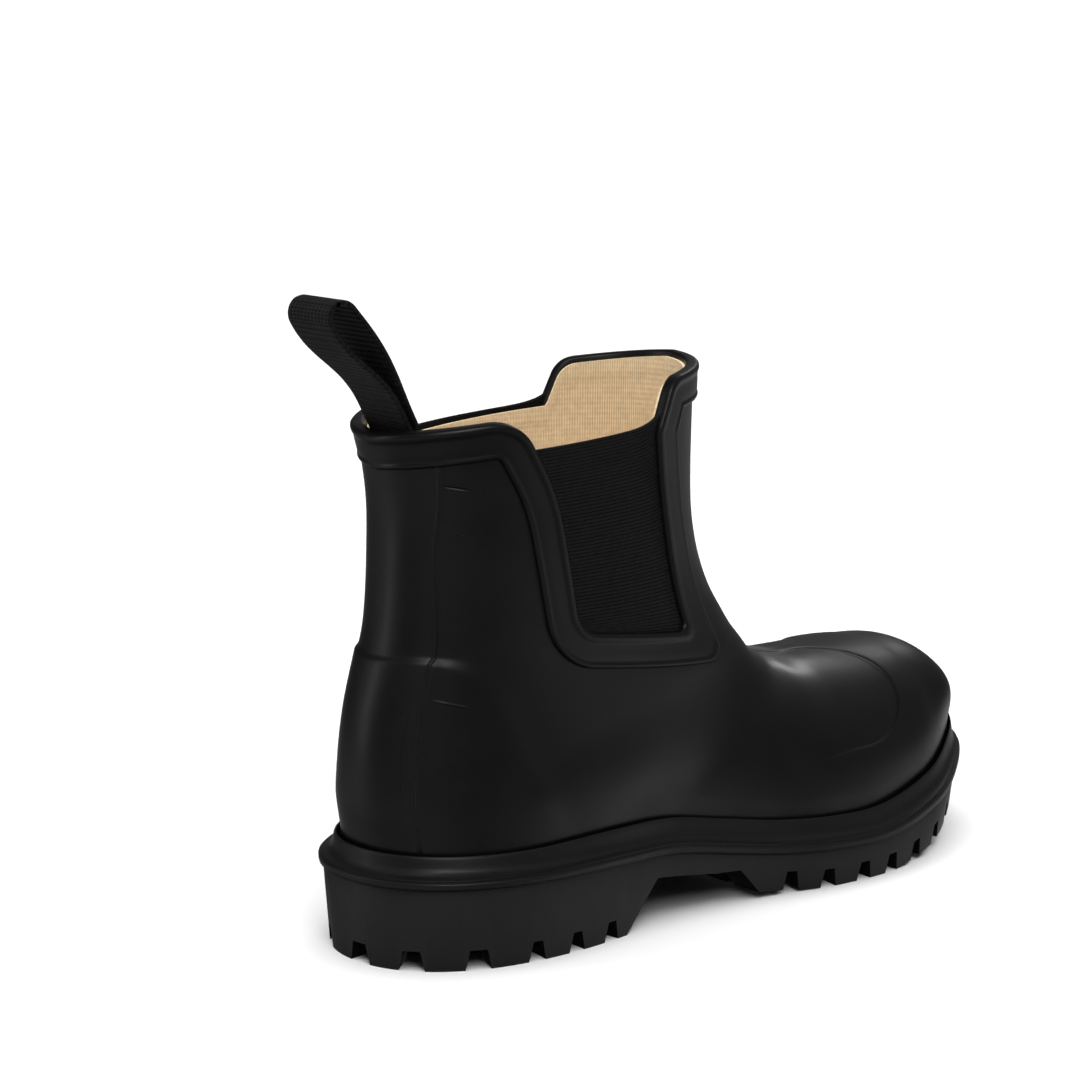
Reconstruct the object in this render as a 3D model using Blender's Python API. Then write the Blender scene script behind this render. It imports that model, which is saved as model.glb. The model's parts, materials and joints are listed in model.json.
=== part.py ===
"""Right ankle boot of vulcanised rubber: lug outsole, rand, hollow upper, elastic gores and a webbing pull loop.

The boot stands on its sole with the toe along +X, the outer side along -Y and +Z up. Tables and sizes are in
millimetres, measured from the back of the heel (x), the boot's axis (y) and the floor (z).
"""

import math

import bmesh
import bpy
import numpy as np

MM = 0.001
GAP = 0.3
OVERLAY_GAP = 0.7
FEATHER_GAP = 0.6
BEYOND = 400.0
CUT_OVERLAP = 0.2

# Walls and layers
WALL = 2.6
BINDING_THICK = 1.5
COUNTER_THICK = 1.4
CAP_THICK = 1.3
CAP_THIN_END = 0.5
STRIP_THICK = 0.8
GORE_THICK = 1.8
GORE_SET_BACK = 0.4
GORE_EDGE_GAP = 0.5
INSOLE_THICK = 3.0

# Foot form: the last in upright sections, a row for each place along the boot
# place x, outer half width, inner half width, height of the widest line, height and inward lean of the crown
FOOT = (
    (24, 26.0, 25.0, 48, 60, 0),
    (46, 30.5, 29.5, 48, 66, 0),
    (78, 35.0, 32.5, 46, 76, 0),
    (116, 36.0, 33.0, 42, 82, 2),
    (157, 41.5, 37.0, 34, 80.8, 4.5),
    (180, 46.5, 40.5, 32, 77.2, 5),
    (203, 48.5, 43.0, 32, 75.2, 4.5),
    (232, 45.0, 43.0, 36, 74.2, 2.5),
    (262, 37.0, 37.5, 40, 75, 0.5),
    (283, 33.0, 36.0, 42, 75, 0),
)
OUTER, INNER, WIDEST, CROWN, LEAN = 1, 2, 3, 4, 5
FOOT_BACK = 24.0
FOOT_TIP = 283.2
HEEL_ROUND = 30.0
TOE_ROUND = 56.0
CROWN_ROUND = 42.0
PLAN_POWER = 2.1
ARCH_POWER = 2.25
UNDERSIDE = 45.0
UNDER_POWER = 4.0

# Fullness of the toe's upper front, which stands out past the plain arch: how far it does,
# and the middle and the width of its rise along the boot and up the toe
TOE_FULL = 4.4
TOE_FULL_X = (254.5, 23.0)
TOE_FULL_Z = (51.0, 22.0)

# Shaft form: level ovals, a row for each height
# height z, back x, front x, half width
SHAFT = (
    (0, 7.0, 100, 36.6),
    (28, 4.6, 112, 37.8),
    (45, 3.2, 130, 38.4),
    (57, 3.2, 150, 38.0),
    (72, 3.8, 168, 36.8),
    (85, 5.8, 172, 35.8),
    (97, 9.2, 164, 35.0),
    (110, 12.6, 155, 34.8),
    (122, 14.2, 149.5, 34.8),
    (134, 15.0, 146.2, 35.0),
    (156, 15.0, 144.8, 35.2),
    (166, 13.6, 144.8, 35.8),
    (180, 10.0, 145.0, 36.8),
    (200, 6.8, 146.0, 37.4),
)
OVAL_POWER = 2.15
BLEND = 12.0
FIELD_SCALE = 36.0
FLOOR = -5.0

# Ray fan that turns the form into rings, from the top of the shaft to the toe
# origin x, origin z, tilt of the ring's plane, opening of its cone
FAN = (
    (81, 203, 3, 0),
    (81, 172, 4, 0),
    (81, 141, 5, 0),
    (82, 114, 8, 0),
    (84, 93, 14, 0),
    (88, 77, 23, 0),
    (96, 65, 34, 0),
    (110, 56, 46, 0),
    (130, 50, 58, 0),
    (154, 46, 69, 0),
    (180, 43, 79, 0),
    (206, 42, 88, 0),
    (228, 42, 90, 4),
    (238, 42, 90, 22),
    (240, 42, 90, 45),
    (240, 42, 90, 68),
    (240, 42, 90, 88),
)
RINGS = 30
SPOKES = 36
SHAFT_SQUEEZE = 0.6
REACH = 230.0
BISECTIONS = 36

# Sole, a row for each place along the boot
# place x, top of the outsole, top of the rand, bottom of the tread, edge of the outsole past the upper
SOLE = (
    (-10, 28.5, 39.4, 0, 6.6),
    (40, 27.8, 38.0, 0, 6.6),
    (84, 26.3, 38.2, 0, 6.6),
    (112, 23.6, 35.8, 0, 6.4),
    (136, 19.0, 31.2, 3.0, 6.2),
    (160, 15.2, 27.0, 1.6, 6.2),
    (178, 14.2, 25.6, 0, 6.4),
    (203, 14.2, 25.6, 0, 6.4),
    (214, 15.6, 27.2, 0.6, 6.2),
    (236, 20.0, 32.0, 3.8, 5.2),
    (262, 25.6, 38.6, 9.0, 4.0),
    (300, 31.0, 44.5, 17.5, 3.4),
)
OUTSOLE_TOP, RAND_TOP, TREAD, MARGIN = 1, 2, 3, 4
SOLE_LINE_POINTS = 45
HEEL_CENTRE = 46.0
TOE_CENTRE = 228.0
HEEL_STEPS, SIDE_STEPS, TOE_STEPS = 10, 14, 10
SIDE_DRAFT = 2.0
LIP = 1.3

# Cross section of the rand
# distance out as a share from the upper (0) to the lip (1), height as a share from the outsole's top (0) to the rand's
RAND_SECTION = (
    (1.00, 0.00),
    (1.00, 0.26),
    (0.90, 0.34),
    (0.58, 0.50),
    (0.33, 0.74),
    (0.19, 1.00),
)
RAND_BACKING = (1.0, 0.5, 0.0)

# Arch gap of the outsole, seen from the side, and the lug notches along the sole's edge
# place x, height
ARCH_GAP = (
    (82, -5.0),
    (86, 0.0),
    (101, 17.2),
    (129, 13.2),
    (139, 12.6),
    (148, 3.0),
    (148, -5.0),
)
NOTCH_HIGH = 7.0
NOTCH_DEEP = 13.0
NOTCH_OVERRUN = 4.0
HEEL_NOTCH = (6.0, 9.0)
FOREFOOT_NOTCH = (4.2, 6.6)
OUTER_HEEL = (4, 24, 46.5, 68, 84.5, 100.5)
INNER_HEEL = (19, 41, 62, 81, 98)
OUTER_FOREFOOT = (184.5, 200.5, 217, 231.5, 247, 263, 281, 300)
INNER_FOREFOOT = (184, 200, 216, 232, 248, 265, 283)

# Tread under the sole: a channel behind the edge lugs and grooves across the middle
CHANNEL_IN = (12.0, 16.0)
CHANNEL_HIGH = 5.0
CROSS_GROOVES = (24, 40, 56, 72, 166, 182, 198, 214, 230, 246)
GROOVE_WIDE = 4.0
GROOVE_HIGH = 4.0
GROOVE_SHORT = 10.0

# Line of the collar and the gore openings on the unrolled shaft, from the back centre to the front
# distance round the shaft, height, corner radius
COLLAR = (
    (0, 176.3, 0),
    (48.0, 181.6, 14),
    (61.8, 154.0, 40),
    (70.9, 106.9, 11),
    (121.6, 99.0, 3),
    (105.9, 175.5, 12),
    (121.5, 191.0, 12),
)
COLLAR_FRONT = 192.2
# distance round the shaft, how much farther forward the same place lies on the inner side
INNER_FORWARD = (
    (0, 0),
    (48, 0),
    (76, 1.0),
    (106, 4.6),
    (122, 4.6),
    (160, 0),
)
GIRTH_HEIGHT = 140.0
SHAFT_AXIS = 81.0
GORE_TOP_REAR, GORE_TOP_FRONT = 170.5, 174.0
GORE_CORNER = 80.0
GORE_ROWS, GORE_COLUMNS = 10, 7
BINDING_WIDTH = 11.6
ARC_STEP = math.radians(18)
LONGEST_STEP = 10.0
BINDING_ROWS = 3

# Heel counter: height of its upper edge, a row for each angle from the heel's back
COUNTER = (
    (0, 102),
    (30, 102.5),
    (52, 99.5),
    (71, 91),
    (88, 74),
    (98, 58),
    (103, 48),
)
COUNTER_AXIS = 50.0
COUNTER_FOOT = 25.0
COUNTER_ROWS, COUNTER_COLUMNS = 7, 21

# Strip up the back of the shaft, and the lobes of the vamp that the toe cap leaves free
STRIP_HALF = 23.0
STRIP_ROWS, STRIP_COLUMNS = 7, 8
CAP_BACK = 176.0
LOBE_TIP = 228.5
LOBE_TURN = math.radians(42)
LOBE_LOW = 4.0
LOBE_HALF = 25.0
LOBE_AXIS = 40.0
LOBE_REACH = (12.0, 90.0)
LOBE_POINTS = 13

# Pull loop, seen from the side: the middle line of the webbing
# place x, height, bend radius
LOOP = (
    (23.6, 160.0, 0),
    (19.6, 178.0, 12),
    (-13.2, 217.9, 4.4),
    (-5.2, 223.0, 4.4),
    (21.6, 180.0, 12),
    (25.6, 160.0, 0),
)
LOOP_MIDDLE = 1.2
WEB_THICK = 1.7
WEB_WIDTH = 22.5


def table(rows, column, at):
    """Smooth curve through one column of a table, over its first column."""
    rows = np.asarray(rows, float)
    places, values = rows[:, 0], rows[:, column]
    slopes = np.gradient(values, places)
    at = np.clip(at, places[0], places[-1])
    i = np.clip(np.searchsorted(places, at) - 1, 0, len(places) - 2)
    span = places[i + 1] - places[i]
    t = (at - places[i]) / span
    start = (2 * t**3 - 3 * t**2 + 1) * values[i] + (t**3 - 2 * t**2 + t) * span * slopes[i]
    end = (3 * t**2 - 2 * t**3) * values[i + 1] + (t**3 - t**2) * span * slopes[i + 1]
    return start + end


def soft_step(distance, width):
    """Smooth step from 0 to 1 across a line, over this width."""
    share = np.clip(distance / width + 0.5, 0, 1)
    return share * share * (3 - 2 * share)


def rounding(x, start, length, power):
    """Superellipse that falls from 1 at start to 0 at start + length."""
    share = np.clip((x - start) / length, 0, 0.9999)
    return (1 - share**power) ** (1 / power)


def foot_field(x, y, z):
    outer, inner, widest, crown, lean = (table(FOOT, column, x) for column in (OUTER, INNER, WIDEST, CROWN, LEAN))
    heel = np.clip((FOOT_BACK + HEEL_ROUND - x) / HEEL_ROUND, 0, None)
    toe = np.clip((x - FOOT_TIP + TOE_ROUND) / TOE_ROUND, 0, None)
    middle = (inner - outer) / 2 + lean * np.clip((z - widest) / (crown - widest), 0, 1)
    aside = np.abs(y - middle) / ((outer + inner) / 2)
    across = (aside**PLAN_POWER + heel**PLAN_POWER + toe**PLAN_POWER) ** (1 / PLAN_POWER)
    rise = (crown - widest) * rounding(x, FOOT_TIP - CROWN_ROUND, CROWN_ROUND, PLAN_POWER)
    over = (across**ARCH_POWER + (np.clip(z - widest, 0, None) / rise) ** ARCH_POWER) ** (1 / ARCH_POWER)
    under = (across**UNDER_POWER + (np.clip(widest - z, 0, None) / UNDERSIDE) ** UNDER_POWER) ** (1 / UNDER_POWER)
    return np.where(z > widest, over, under) - 1


def toe_fullness(x, z):
    """How far the toe's upper front stands out past the plain arch."""
    (place, run), (height, depth) = TOE_FULL_X, TOE_FULL_Z
    return TOE_FULL * soft_step(x - place, run) * soft_step(z - height, depth)


def shaft_field(x, y, z):
    back, front, half = (table(SHAFT, column, z) for column in (1, 2, 3))
    along = np.abs(x - (back + front) / 2) / ((front - back) / 2)
    return (along**OVAL_POWER + np.abs(y / half) ** OVAL_POWER) ** (1 / OVAL_POWER) - 1


def field(points):
    """Below zero inside the boot's outer form: the foot and the shaft, melted together."""
    x, y, z = np.moveaxis(np.asarray(points, float), -1, 0)
    foot = foot_field(x, y, z) * FIELD_SCALE - toe_fullness(x, z)
    shaft = shaft_field(x, y, z) * FIELD_SCALE
    share = np.clip(0.5 + 0.5 * (shaft - foot) / BLEND, 0, 1)
    melted = shaft + (foot - shaft) * share - BLEND * share * (1 - share)
    return np.maximum(melted, FLOOR - z)


def cast(origins, directions):
    """Points where rays from inside leave the outer form."""
    origins, directions = np.broadcast_arrays(np.asarray(origins, float), np.asarray(directions, float))
    near = np.zeros(origins.shape[:-1])
    far = np.full(origins.shape[:-1], REACH)
    for _ in range(BISECTIONS):
        middle = (near + far) / 2
        outside = field(origins + directions * middle[..., None]) > 0
        far = np.where(outside, middle, far)
        near = np.where(outside, near, middle)
    return origins + directions * near[..., None]


def outward(points):
    """Unit normals of the outer form."""
    step = 0.2
    slopes = [field(points + step * axis) - field(points - step * axis) for axis in np.eye(3)]
    slopes = np.stack(slopes, -1)
    return slopes / np.linalg.norm(slopes, axis=-1, keepdims=True)


def ring_rays():
    """Origins and directions of the rings of rays that wrap the boot from the shaft's top to the toe."""
    steps = np.linspace(0, len(FAN) - 1, RINGS)
    rows = [(i, *row) for i, row in enumerate(FAN)]
    x, z, tilt, cone = (table(rows, column, steps) for column in (1, 2, 3, 4))
    tilt, cone = np.radians(tilt), np.radians(cone)
    squeeze = SHAFT_SQUEEZE + (1 - SHAFT_SQUEEZE) * np.sin(tilt)[:, None]
    turn = np.linspace(0, 2 * math.pi, SPOKES, endpoint=False)
    turn = np.arctan2(squeeze * np.sin(turn), np.cos(turn))
    zero = np.zeros_like(tilt)
    front = np.stack([np.cos(tilt), zero, np.sin(tilt)], -1)
    ahead = np.stack([np.sin(tilt), zero, -np.cos(tilt)], -1)
    side = np.array([0.0, 1.0, 0.0])
    flat = np.cos(turn)[..., None] * front[:, None] + np.sin(turn)[..., None] * side
    directions = flat * np.cos(cone)[:, None, None] + ahead[:, None] * np.sin(cone)[:, None, None]
    origins = np.stack([x, zero, z], -1)[:, None]
    return origins, directions


def material(name, colour, roughness):
    made = bpy.data.materials.new(name)
    made.use_nodes = True
    shader = made.node_tree.nodes["Principled BSDF"]
    shader.inputs["Base Color"].default_value = (*colour, 1.0)
    shader.inputs["Roughness"].default_value = roughness
    shader.inputs["Metallic"].default_value = 0.0
    return made


def solid(name, points, faces, finish):
    """Object from points in millimetres and faces that wrap a closed body."""
    mesh = bpy.data.meshes.new(name)
    mesh.from_pydata((np.asarray(points, float).reshape(-1, 3) * MM).tolist(), [], faces)
    work = bmesh.new()
    work.from_mesh(mesh)
    bmesh.ops.remove_doubles(work, verts=work.verts, dist=1e-6)
    bmesh.ops.recalc_face_normals(work, faces=work.faces)
    work.to_mesh(mesh)
    work.free()
    mesh.shade_smooth()
    mesh.set_sharp_from_angle(angle=math.radians(40))
    made = bpy.data.objects.new(name, mesh)
    bpy.context.scene.collection.objects.link(made)
    if finish:
        mesh.materials.append(finish)
    return made


def strip(upper_row, lower_row, wrap):
    """Faces between two rows of point numbers."""
    count = len(upper_row)
    last = count if wrap else count - 1
    return [(upper_row[i], upper_row[(i + 1) % count], lower_row[(i + 1) % count], lower_row[i]) for i in range(last)]


def sheet_faces(numbers, wrap):
    return [face for top, low in zip(numbers[:-1], numbers[1:]) for face in strip(top, low, wrap)]


def thick_sheet(name, outer, inner, finish, wrap=False, end_filled=False):
    """Closed body between two grids of the same shape."""
    rows, columns = outer.shape[:2]
    numbers = np.arange(rows * columns).reshape(rows, columns)
    behind = numbers + rows * columns
    faces = sheet_faces(numbers, wrap) + [face[::-1] for face in sheet_faces(behind, wrap)]
    faces += strip(numbers[0], behind[0], wrap)
    if end_filled:
        faces += [tuple(numbers[-1]), tuple(behind[-1][::-1])]
    else:
        faces += strip(numbers[-1], behind[-1], wrap)
    if not wrap:
        for column in (0, -1):
            faces += strip(numbers[:, column], behind[:, column], False)
    return solid(name, np.concatenate([outer.reshape(-1, 3), inner.reshape(-1, 3)]), faces, finish)


def ring_body(name, rings, finish):
    """Closed body through rings of points, the last joined to the first."""
    rings = np.asarray(rings)
    numbers = np.arange(rings.shape[0] * rings.shape[1]).reshape(rings.shape[:2])
    closed = np.concatenate([numbers, numbers[:1]])
    return solid(name, rings, sheet_faces(closed, True), finish)


def slab(name, top, bottom, finish):
    """Closed body between two edges that run round the sole, each filled from side to side."""
    count = len(top)
    faces = strip(np.arange(count), np.arange(count) + count, True)
    for i in range(count // 2):
        across = dict.fromkeys((i, i + 1, (count - i - 1) % count, (count - i) % count))
        faces.append(tuple(across))
        faces.append(tuple(number + count for number in reversed(across)))
    return solid(name, np.concatenate([top, bottom]), faces, finish)


def prism_points(outline, axis, low, high):
    outline = np.asarray(outline, float)
    return [np.insert(outline, axis, value, axis=1) for value in (low, high)]


def cutter(name, bodies):
    """Helper that is taken out of other bodies: flat outlines joined in pairs."""
    points, faces = [], []
    for first, last in bodies:
        count, base = len(first), sum(len(part) for part in points)
        numbers = np.arange(count) + base
        faces += strip(numbers, numbers + count, True)
        faces += [tuple(numbers[::-1]), tuple(numbers + count)]
        points += [first, last]
    made = solid(name, np.concatenate(points), faces, None)
    as_helper(made)
    return made


def as_helper(made):
    made.hide_render = True
    made.display_type = "WIRE"


def cut(target, helper):
    made = target.modifiers.new(helper.name, "BOOLEAN")
    made.operation = "DIFFERENCE"
    made.object = helper


def rounded(corners):
    """Points along straight runs joined by arcs, from rows of place, height and radius."""
    corners = np.asarray(corners, float)
    points = [corners[0, :2]]
    for before, corner, after in zip(corners[:-2], corners[1:-1], corners[2:]):
        into = (corner - before)[:2] / np.linalg.norm((corner - before)[:2])
        leaving = (after - corner)[:2] / np.linalg.norm((after - corner)[:2])
        turn = math.atan2(into[0] * leaving[1] - into[1] * leaving[0], into @ leaving)
        start = corner[:2] - into * corner[2] * math.tan(abs(turn) / 2)
        spoke = math.copysign(corner[2], turn) * np.array([into[1], -into[0]])
        for angle in np.linspace(0, turn, max(2, math.ceil(abs(turn) / ARC_STEP)) + 1):
            spun = np.array([[math.cos(angle), -math.sin(angle)], [math.sin(angle), math.cos(angle)]]) @ spoke
            points.append(start - spoke + spun)
    points.append(corners[-1, :2])
    return np.array(points)


def finer(points, longest):
    """The same line with no step longer than this."""
    made = [points[:1]]
    for start, end in zip(points[:-1], points[1:]):
        steps = math.ceil(np.linalg.norm(end - start) / longest)
        made.append(start + (end - start) * np.linspace(0, 1, steps + 1)[1:, None])
    return np.concatenate(made)


def spaced(points, count):
    """This many points at equal steps along a line."""
    along = np.concatenate([[0], np.cumsum(np.linalg.norm(np.diff(points, axis=0), axis=1))])
    places = np.linspace(0, along[-1], count)
    return np.stack([np.interp(places, along, column) for column in points.T], -1)


def right_hand(points):
    """Unit normals to the right of a line in its own plane."""
    steps = np.diff(points, axis=0)
    steps = steps / np.linalg.norm(steps, axis=1, keepdims=True)
    mean = np.concatenate([steps[:1], steps[:-1] + steps[1:], steps[-1:]])
    mean = mean / np.linalg.norm(mean, axis=1, keepdims=True)
    return np.stack([mean[:, 1], -mean[:, 0]], -1)


def girth():
    """Angles from the back of the shaft to its front, and the distance round the shaft to each."""
    angles = np.linspace(0, math.pi, 181)
    level = np.stack([-np.cos(angles), -np.sin(angles), np.zeros_like(angles)], -1)
    points = cast((SHAFT_AXIS, 0, GIRTH_HEIGHT), level)
    steps = np.linalg.norm(np.diff(points, axis=0), axis=1)
    return angles, np.concatenate([[0], np.cumsum(steps)])


GIRTH_ANGLES, GIRTH = girth()


def on_shaft(pattern, offset):
    """Places on the unrolled shaft (distance round it, height), set off from its outer form."""
    distance, height = np.moveaxis(np.asarray(pattern, float), -1, 0)
    distance = distance - np.where(distance < 0, table(INNER_FORWARD, 1, -distance), 0)
    angle = np.sign(distance) * np.interp(np.abs(distance), GIRTH, GIRTH_ANGLES)
    past = np.clip(np.abs(distance) - GIRTH[-1], 0, None)
    angle = angle + np.sign(distance) * past / GIRTH[-1]
    origins = np.stack([np.full_like(height, SHAFT_AXIS), np.zeros_like(height), height], -1)
    points = cast(origins, np.stack([-np.cos(angle), -np.sin(angle), np.zeros_like(angle)], -1))
    return points + np.asarray(offset, float)[..., None] * outward(points)


def edge_rays():
    """Level rays that meet the boot's edge from the heel's back, along the outer side, to the toe and back."""
    heel = np.linspace(math.pi, 1.5 * math.pi, HEEL_STEPS, endpoint=False)
    toe = np.linspace(-math.pi / 2, 0, TOE_STEPS + 1)[1:]
    side = np.linspace(HEEL_CENTRE, TOE_CENTRE, SIDE_STEPS)
    angles = np.concatenate([heel, np.full(SIDE_STEPS, -math.pi / 2), toe])
    places = np.concatenate([np.full(HEEL_STEPS, HEEL_CENTRE), side, np.full(TOE_STEPS, TOE_CENTRE)])
    angles = np.concatenate([angles, -angles[-2:0:-1]])
    places = np.concatenate([places, places[-2:0:-1]])
    return places, np.stack([np.cos(angles), np.sin(angles), np.zeros_like(angles)], -1)


def edge(height, offset):
    """Points round the boot's edge, at a height and set off by a distance that depend on the place."""
    places, directions = edge_rays()
    points = np.stack([places, np.zeros_like(places), height(places)], -1)
    starts = points.copy()
    for _ in range(4):
        points = cast(starts, directions)
        starts[:, 2] = height(points[:, 0])
    level = outward(points)[:, :2]
    out = np.broadcast_to(offset(points[:, 0]) if callable(offset) else offset, len(points))
    points[:, :2] += out[:, None] * level / np.linalg.norm(level, axis=1, keepdims=True)
    points[:, 2] = height(points[:, 0])
    return points


def between_sole_lines(share, rise=0.0):
    """Height between the outsole's top (0) and the rand's top (1), as a function of the place."""
    def height(x):
        low, high = table(SOLE, OUTSOLE_TOP, x), table(SOLE, RAND_TOP, x)
        return low + (high - low) * share + rise
    return height


def past_upper(extra, share=1.0):
    """Distance of the sole's edge past the upper, as a function of the place."""
    return lambda x: GAP + (table(SOLE, MARGIN, x) + extra - GAP) * share


def below_line(name, height):
    """Cutter of all that lies under a height given along the boot."""
    places = np.linspace(SOLE[0][0], SOLE[-1][0], SOLE_LINE_POINTS)
    levels = height(places)
    under = [(-BEYOND, -BEYOND), (BEYOND, -BEYOND), (BEYOND, levels[-1])]
    outline = under + np.column_stack([places, levels])[::-1].tolist() + [(-BEYOND, levels[0])]
    return cutter(name, [prism_points(outline, 1, -BEYOND, BEYOND)])


def collar_line():
    """The line on the unrolled shaft where the upper ends, from the back centre to the front centre."""
    return finer(rounded([*COLLAR, (GIRTH[-1], COLLAR_FRONT, 0)]), LONGEST_STEP)


def make_upper(finish):
    origins, directions = ring_rays()
    outer = cast(origins, directions)
    upper = thick_sheet("upper", outer, outer - WALL * outward(outer), finish, wrap=True, end_filled=True)
    for name, side in (("outer_collar_cutter", -1), ("inner_collar_cutter", 1)):
        line = on_shaft(collar_line() * (-side, 1), 0.0)[:, (0, 2)]
        around = [(-BEYOND, line[0, 1]), *line.tolist(), (BEYOND, line[-1, 1]), (BEYOND, BEYOND), (-BEYOND, BEYOND)]
        cut(upper, cutter(name, [prism_points(around, 1, -side * CUT_OVERLAP, side * BEYOND)]))
    cut(upper, below_line("feather_cutter", between_sole_lines(0, GAP)))


def notch(line, distance, widths):
    """Trapezoid that opens downwards, let into the sole's edge at this distance along it."""
    along = np.concatenate([[0], np.cumsum(np.linalg.norm(np.diff(line[:, :2], axis=0), axis=1))])
    here, next_to_it = distance, distance + 2
    centre, after = (np.array([np.interp(at, along, column) for column in line.T]) for at in (here, next_to_it))
    ahead = (after - centre) / np.linalg.norm(after - centre)
    middle = (HEEL_CENTRE if centre[0] < HEEL_CENTRE else min(centre[0], TOE_CENTRE), 0)
    inward = np.append(middle - centre[:2], 0)
    inward = inward - ahead * (inward @ ahead)
    inward = inward / np.linalg.norm(inward)
    narrow, wide = widths
    foot = wide + (wide - narrow) / NOTCH_HIGH * NOTCH_OVERRUN
    low, high = -NOTCH_OVERRUN, NOTCH_HIGH
    corners = [(-foot / 2, low), (foot / 2, low), (narrow / 2, high), (-narrow / 2, high)]
    ends = []
    for depth in (-2 * NOTCH_OVERRUN, NOTCH_DEEP):
        ends.append(np.array([centre + side * ahead + depth * inward + (0, 0, level) for side, level in corners]))
    return ends


def groove(x):
    """Box across the middle of the tread, out to the channel."""
    outer, inner = table(FOOT, OUTER, x) - GROOVE_SHORT, table(FOOT, INNER, x) - GROOVE_SHORT
    floor = np.clip(table(SOLE, TREAD, x), 0, None)
    sides = [(x - GROOVE_WIDE / 2, -outer), (x + GROOVE_WIDE / 2, -outer)]
    sides += [(x + GROOVE_WIDE / 2, inner), (x - GROOVE_WIDE / 2, inner)]
    return prism_points(sides, 2, floor - CHANNEL_HIGH, floor + GROOVE_HIGH)


def make_outsole(finish):
    top_height = between_sole_lines(0)
    top = edge(top_height, past_upper(0))
    bottom = edge(top_height, past_upper(-SIDE_DRAFT))
    bottom[:, 2] = np.clip(table(SOLE, TREAD, bottom[:, 0]), 0, None)
    outsole = slab("outsole", top, bottom, finish)
    cut(outsole, cutter("arch_cutter", [prism_points(ARCH_GAP, 1, -BEYOND, BEYOND)]))
    half = len(bottom) // 2
    outer_line, inner_line = bottom[: half + 1], np.concatenate([bottom[:1], bottom[: half - 1 : -1]])
    notches = [notch(outer_line, place, HEEL_NOTCH) for place in OUTER_HEEL]
    notches += [notch(inner_line, place, HEEL_NOTCH) for place in INNER_HEEL]
    notches += [notch(outer_line, place, FOREFOOT_NOTCH) for place in OUTER_FOREFOOT]
    notches += [notch(inner_line, place, FOREFOOT_NOTCH) for place in INNER_FOREFOOT]
    cut(outsole, cutter("lug_cutter", notches))
    rings = []
    for inside, level in ((0, -1), (0, 1), (1, 1), (1, -1)):
        ring = edge(top_height, past_upper(-SIDE_DRAFT - CHANNEL_IN[inside]))
        ring[:, 2] = np.clip(table(SOLE, TREAD, ring[:, 0]), 0, None) + level * CHANNEL_HIGH
        rings.append(ring)
    channel = ring_body("channel_cutter", rings, None)
    as_helper(channel)
    cut(outsole, channel)
    cut(outsole, cutter("groove_cutter", [groove(x) for x in CROSS_GROOVES]))


def make_rand(finish):
    rings = [edge(between_sole_lines(share, GAP), past_upper(LIP, out)) for out, share in RAND_SECTION]
    rings += [edge(between_sole_lines(share, GAP), FEATHER_GAP) for share in RAND_BACKING]
    ring_body("rand", rings, finish)


def make_insole(finish):
    def top(x):
        return table(SOLE, OUTSOLE_TOP, x) + GAP + INSOLE_THICK

    def bottom(x):
        return table(SOLE, OUTSOLE_TOP, x) + GAP
    inset = -WALL - 2 * FEATHER_GAP
    slab("insole", edge(top, inset), edge(bottom, inset), finish)


def make_binding(finish):
    half = collar_line()
    mirrored = half[-2:0:-1] * (-1, 1)
    line = np.concatenate([half, mirrored])
    normals = right_hand(half)
    normals[0], normals[-1] = (0, -1), (0, -1)
    normals = np.concatenate([normals, normals[-2:0:-1] * (-1, 1)])
    across = np.linspace(0, BINDING_WIDTH, BINDING_ROWS)
    outer = [on_shaft(line + normals * width, OVERLAY_GAP + BINDING_THICK) for width in across]
    inner = [on_shaft(line + normals * width, OVERLAY_GAP) for width in across]
    ring_body("collar_binding", outer + inner[::-1], finish)


def make_gore(name, side, finish):
    line = collar_line()
    line = finer(line - GORE_EDGE_GAP * right_hand(line), GORE_EDGE_GAP)
    lowest = int(np.argmin(line[:, 1]))
    rear, front = line[:lowest], line[lowest:]
    rear = rear[(rear[:, 1] < GORE_TOP_REAR) & (rear[:, 0] < GORE_CORNER)]
    front = front[front[:, 1] < GORE_TOP_FRONT][::-1]
    share = np.linspace(0, 1, GORE_COLUMNS)[:, None]
    pairs = zip(spaced(rear, GORE_ROWS), spaced(front, GORE_ROWS))
    grid = np.array([start + (end - start) * share for start, end in pairs])
    outer = on_shaft(grid * (-side, 1), -GORE_SET_BACK)
    inner = outer - (0, side * GORE_THICK, 0)
    thick_sheet(name, outer, inner, finish)


def make_counter(finish):
    widest = COUNTER[-1][0]
    angles = np.linspace(-widest, widest, COUNTER_COLUMNS)
    top = table(COUNTER, 1, np.abs(angles))
    share = np.linspace(0, 1, COUNTER_ROWS)[:, None]
    heights = COUNTER_FOOT + (top - COUNTER_FOOT) * share
    angles = np.radians(angles)
    origins = np.stack([np.full_like(heights, COUNTER_AXIS), np.zeros_like(heights), heights], -1)
    level = np.stack([-np.cos(angles), -np.sin(angles), np.zeros_like(angles)], -1)
    points = cast(origins, np.broadcast_to(level, origins.shape))
    normals = outward(points)
    outer = points + (OVERLAY_GAP + COUNTER_THICK) * normals
    counter = thick_sheet("heel_counter", outer, points + OVERLAY_GAP * normals, finish)
    cut(counter, below_line("counter_cutter", between_sole_lines(1, 2 * GAP)))


def make_strip(finish):
    low = table(COUNTER, 1, 0) + COUNTER_THICK
    high = COLLAR[0][1] - BINDING_WIDTH - OVERLAY_GAP
    heights = np.linspace(low, high, STRIP_ROWS)
    places = np.linspace(-STRIP_HALF, STRIP_HALF, STRIP_COLUMNS)
    grid = np.stack(np.meshgrid(places, heights), -1)
    outer, inner = on_shaft(grid, OVERLAY_GAP + STRIP_THICK), on_shaft(grid, OVERLAY_GAP)
    thick_sheet("back_strip", outer, inner, finish)


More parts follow.
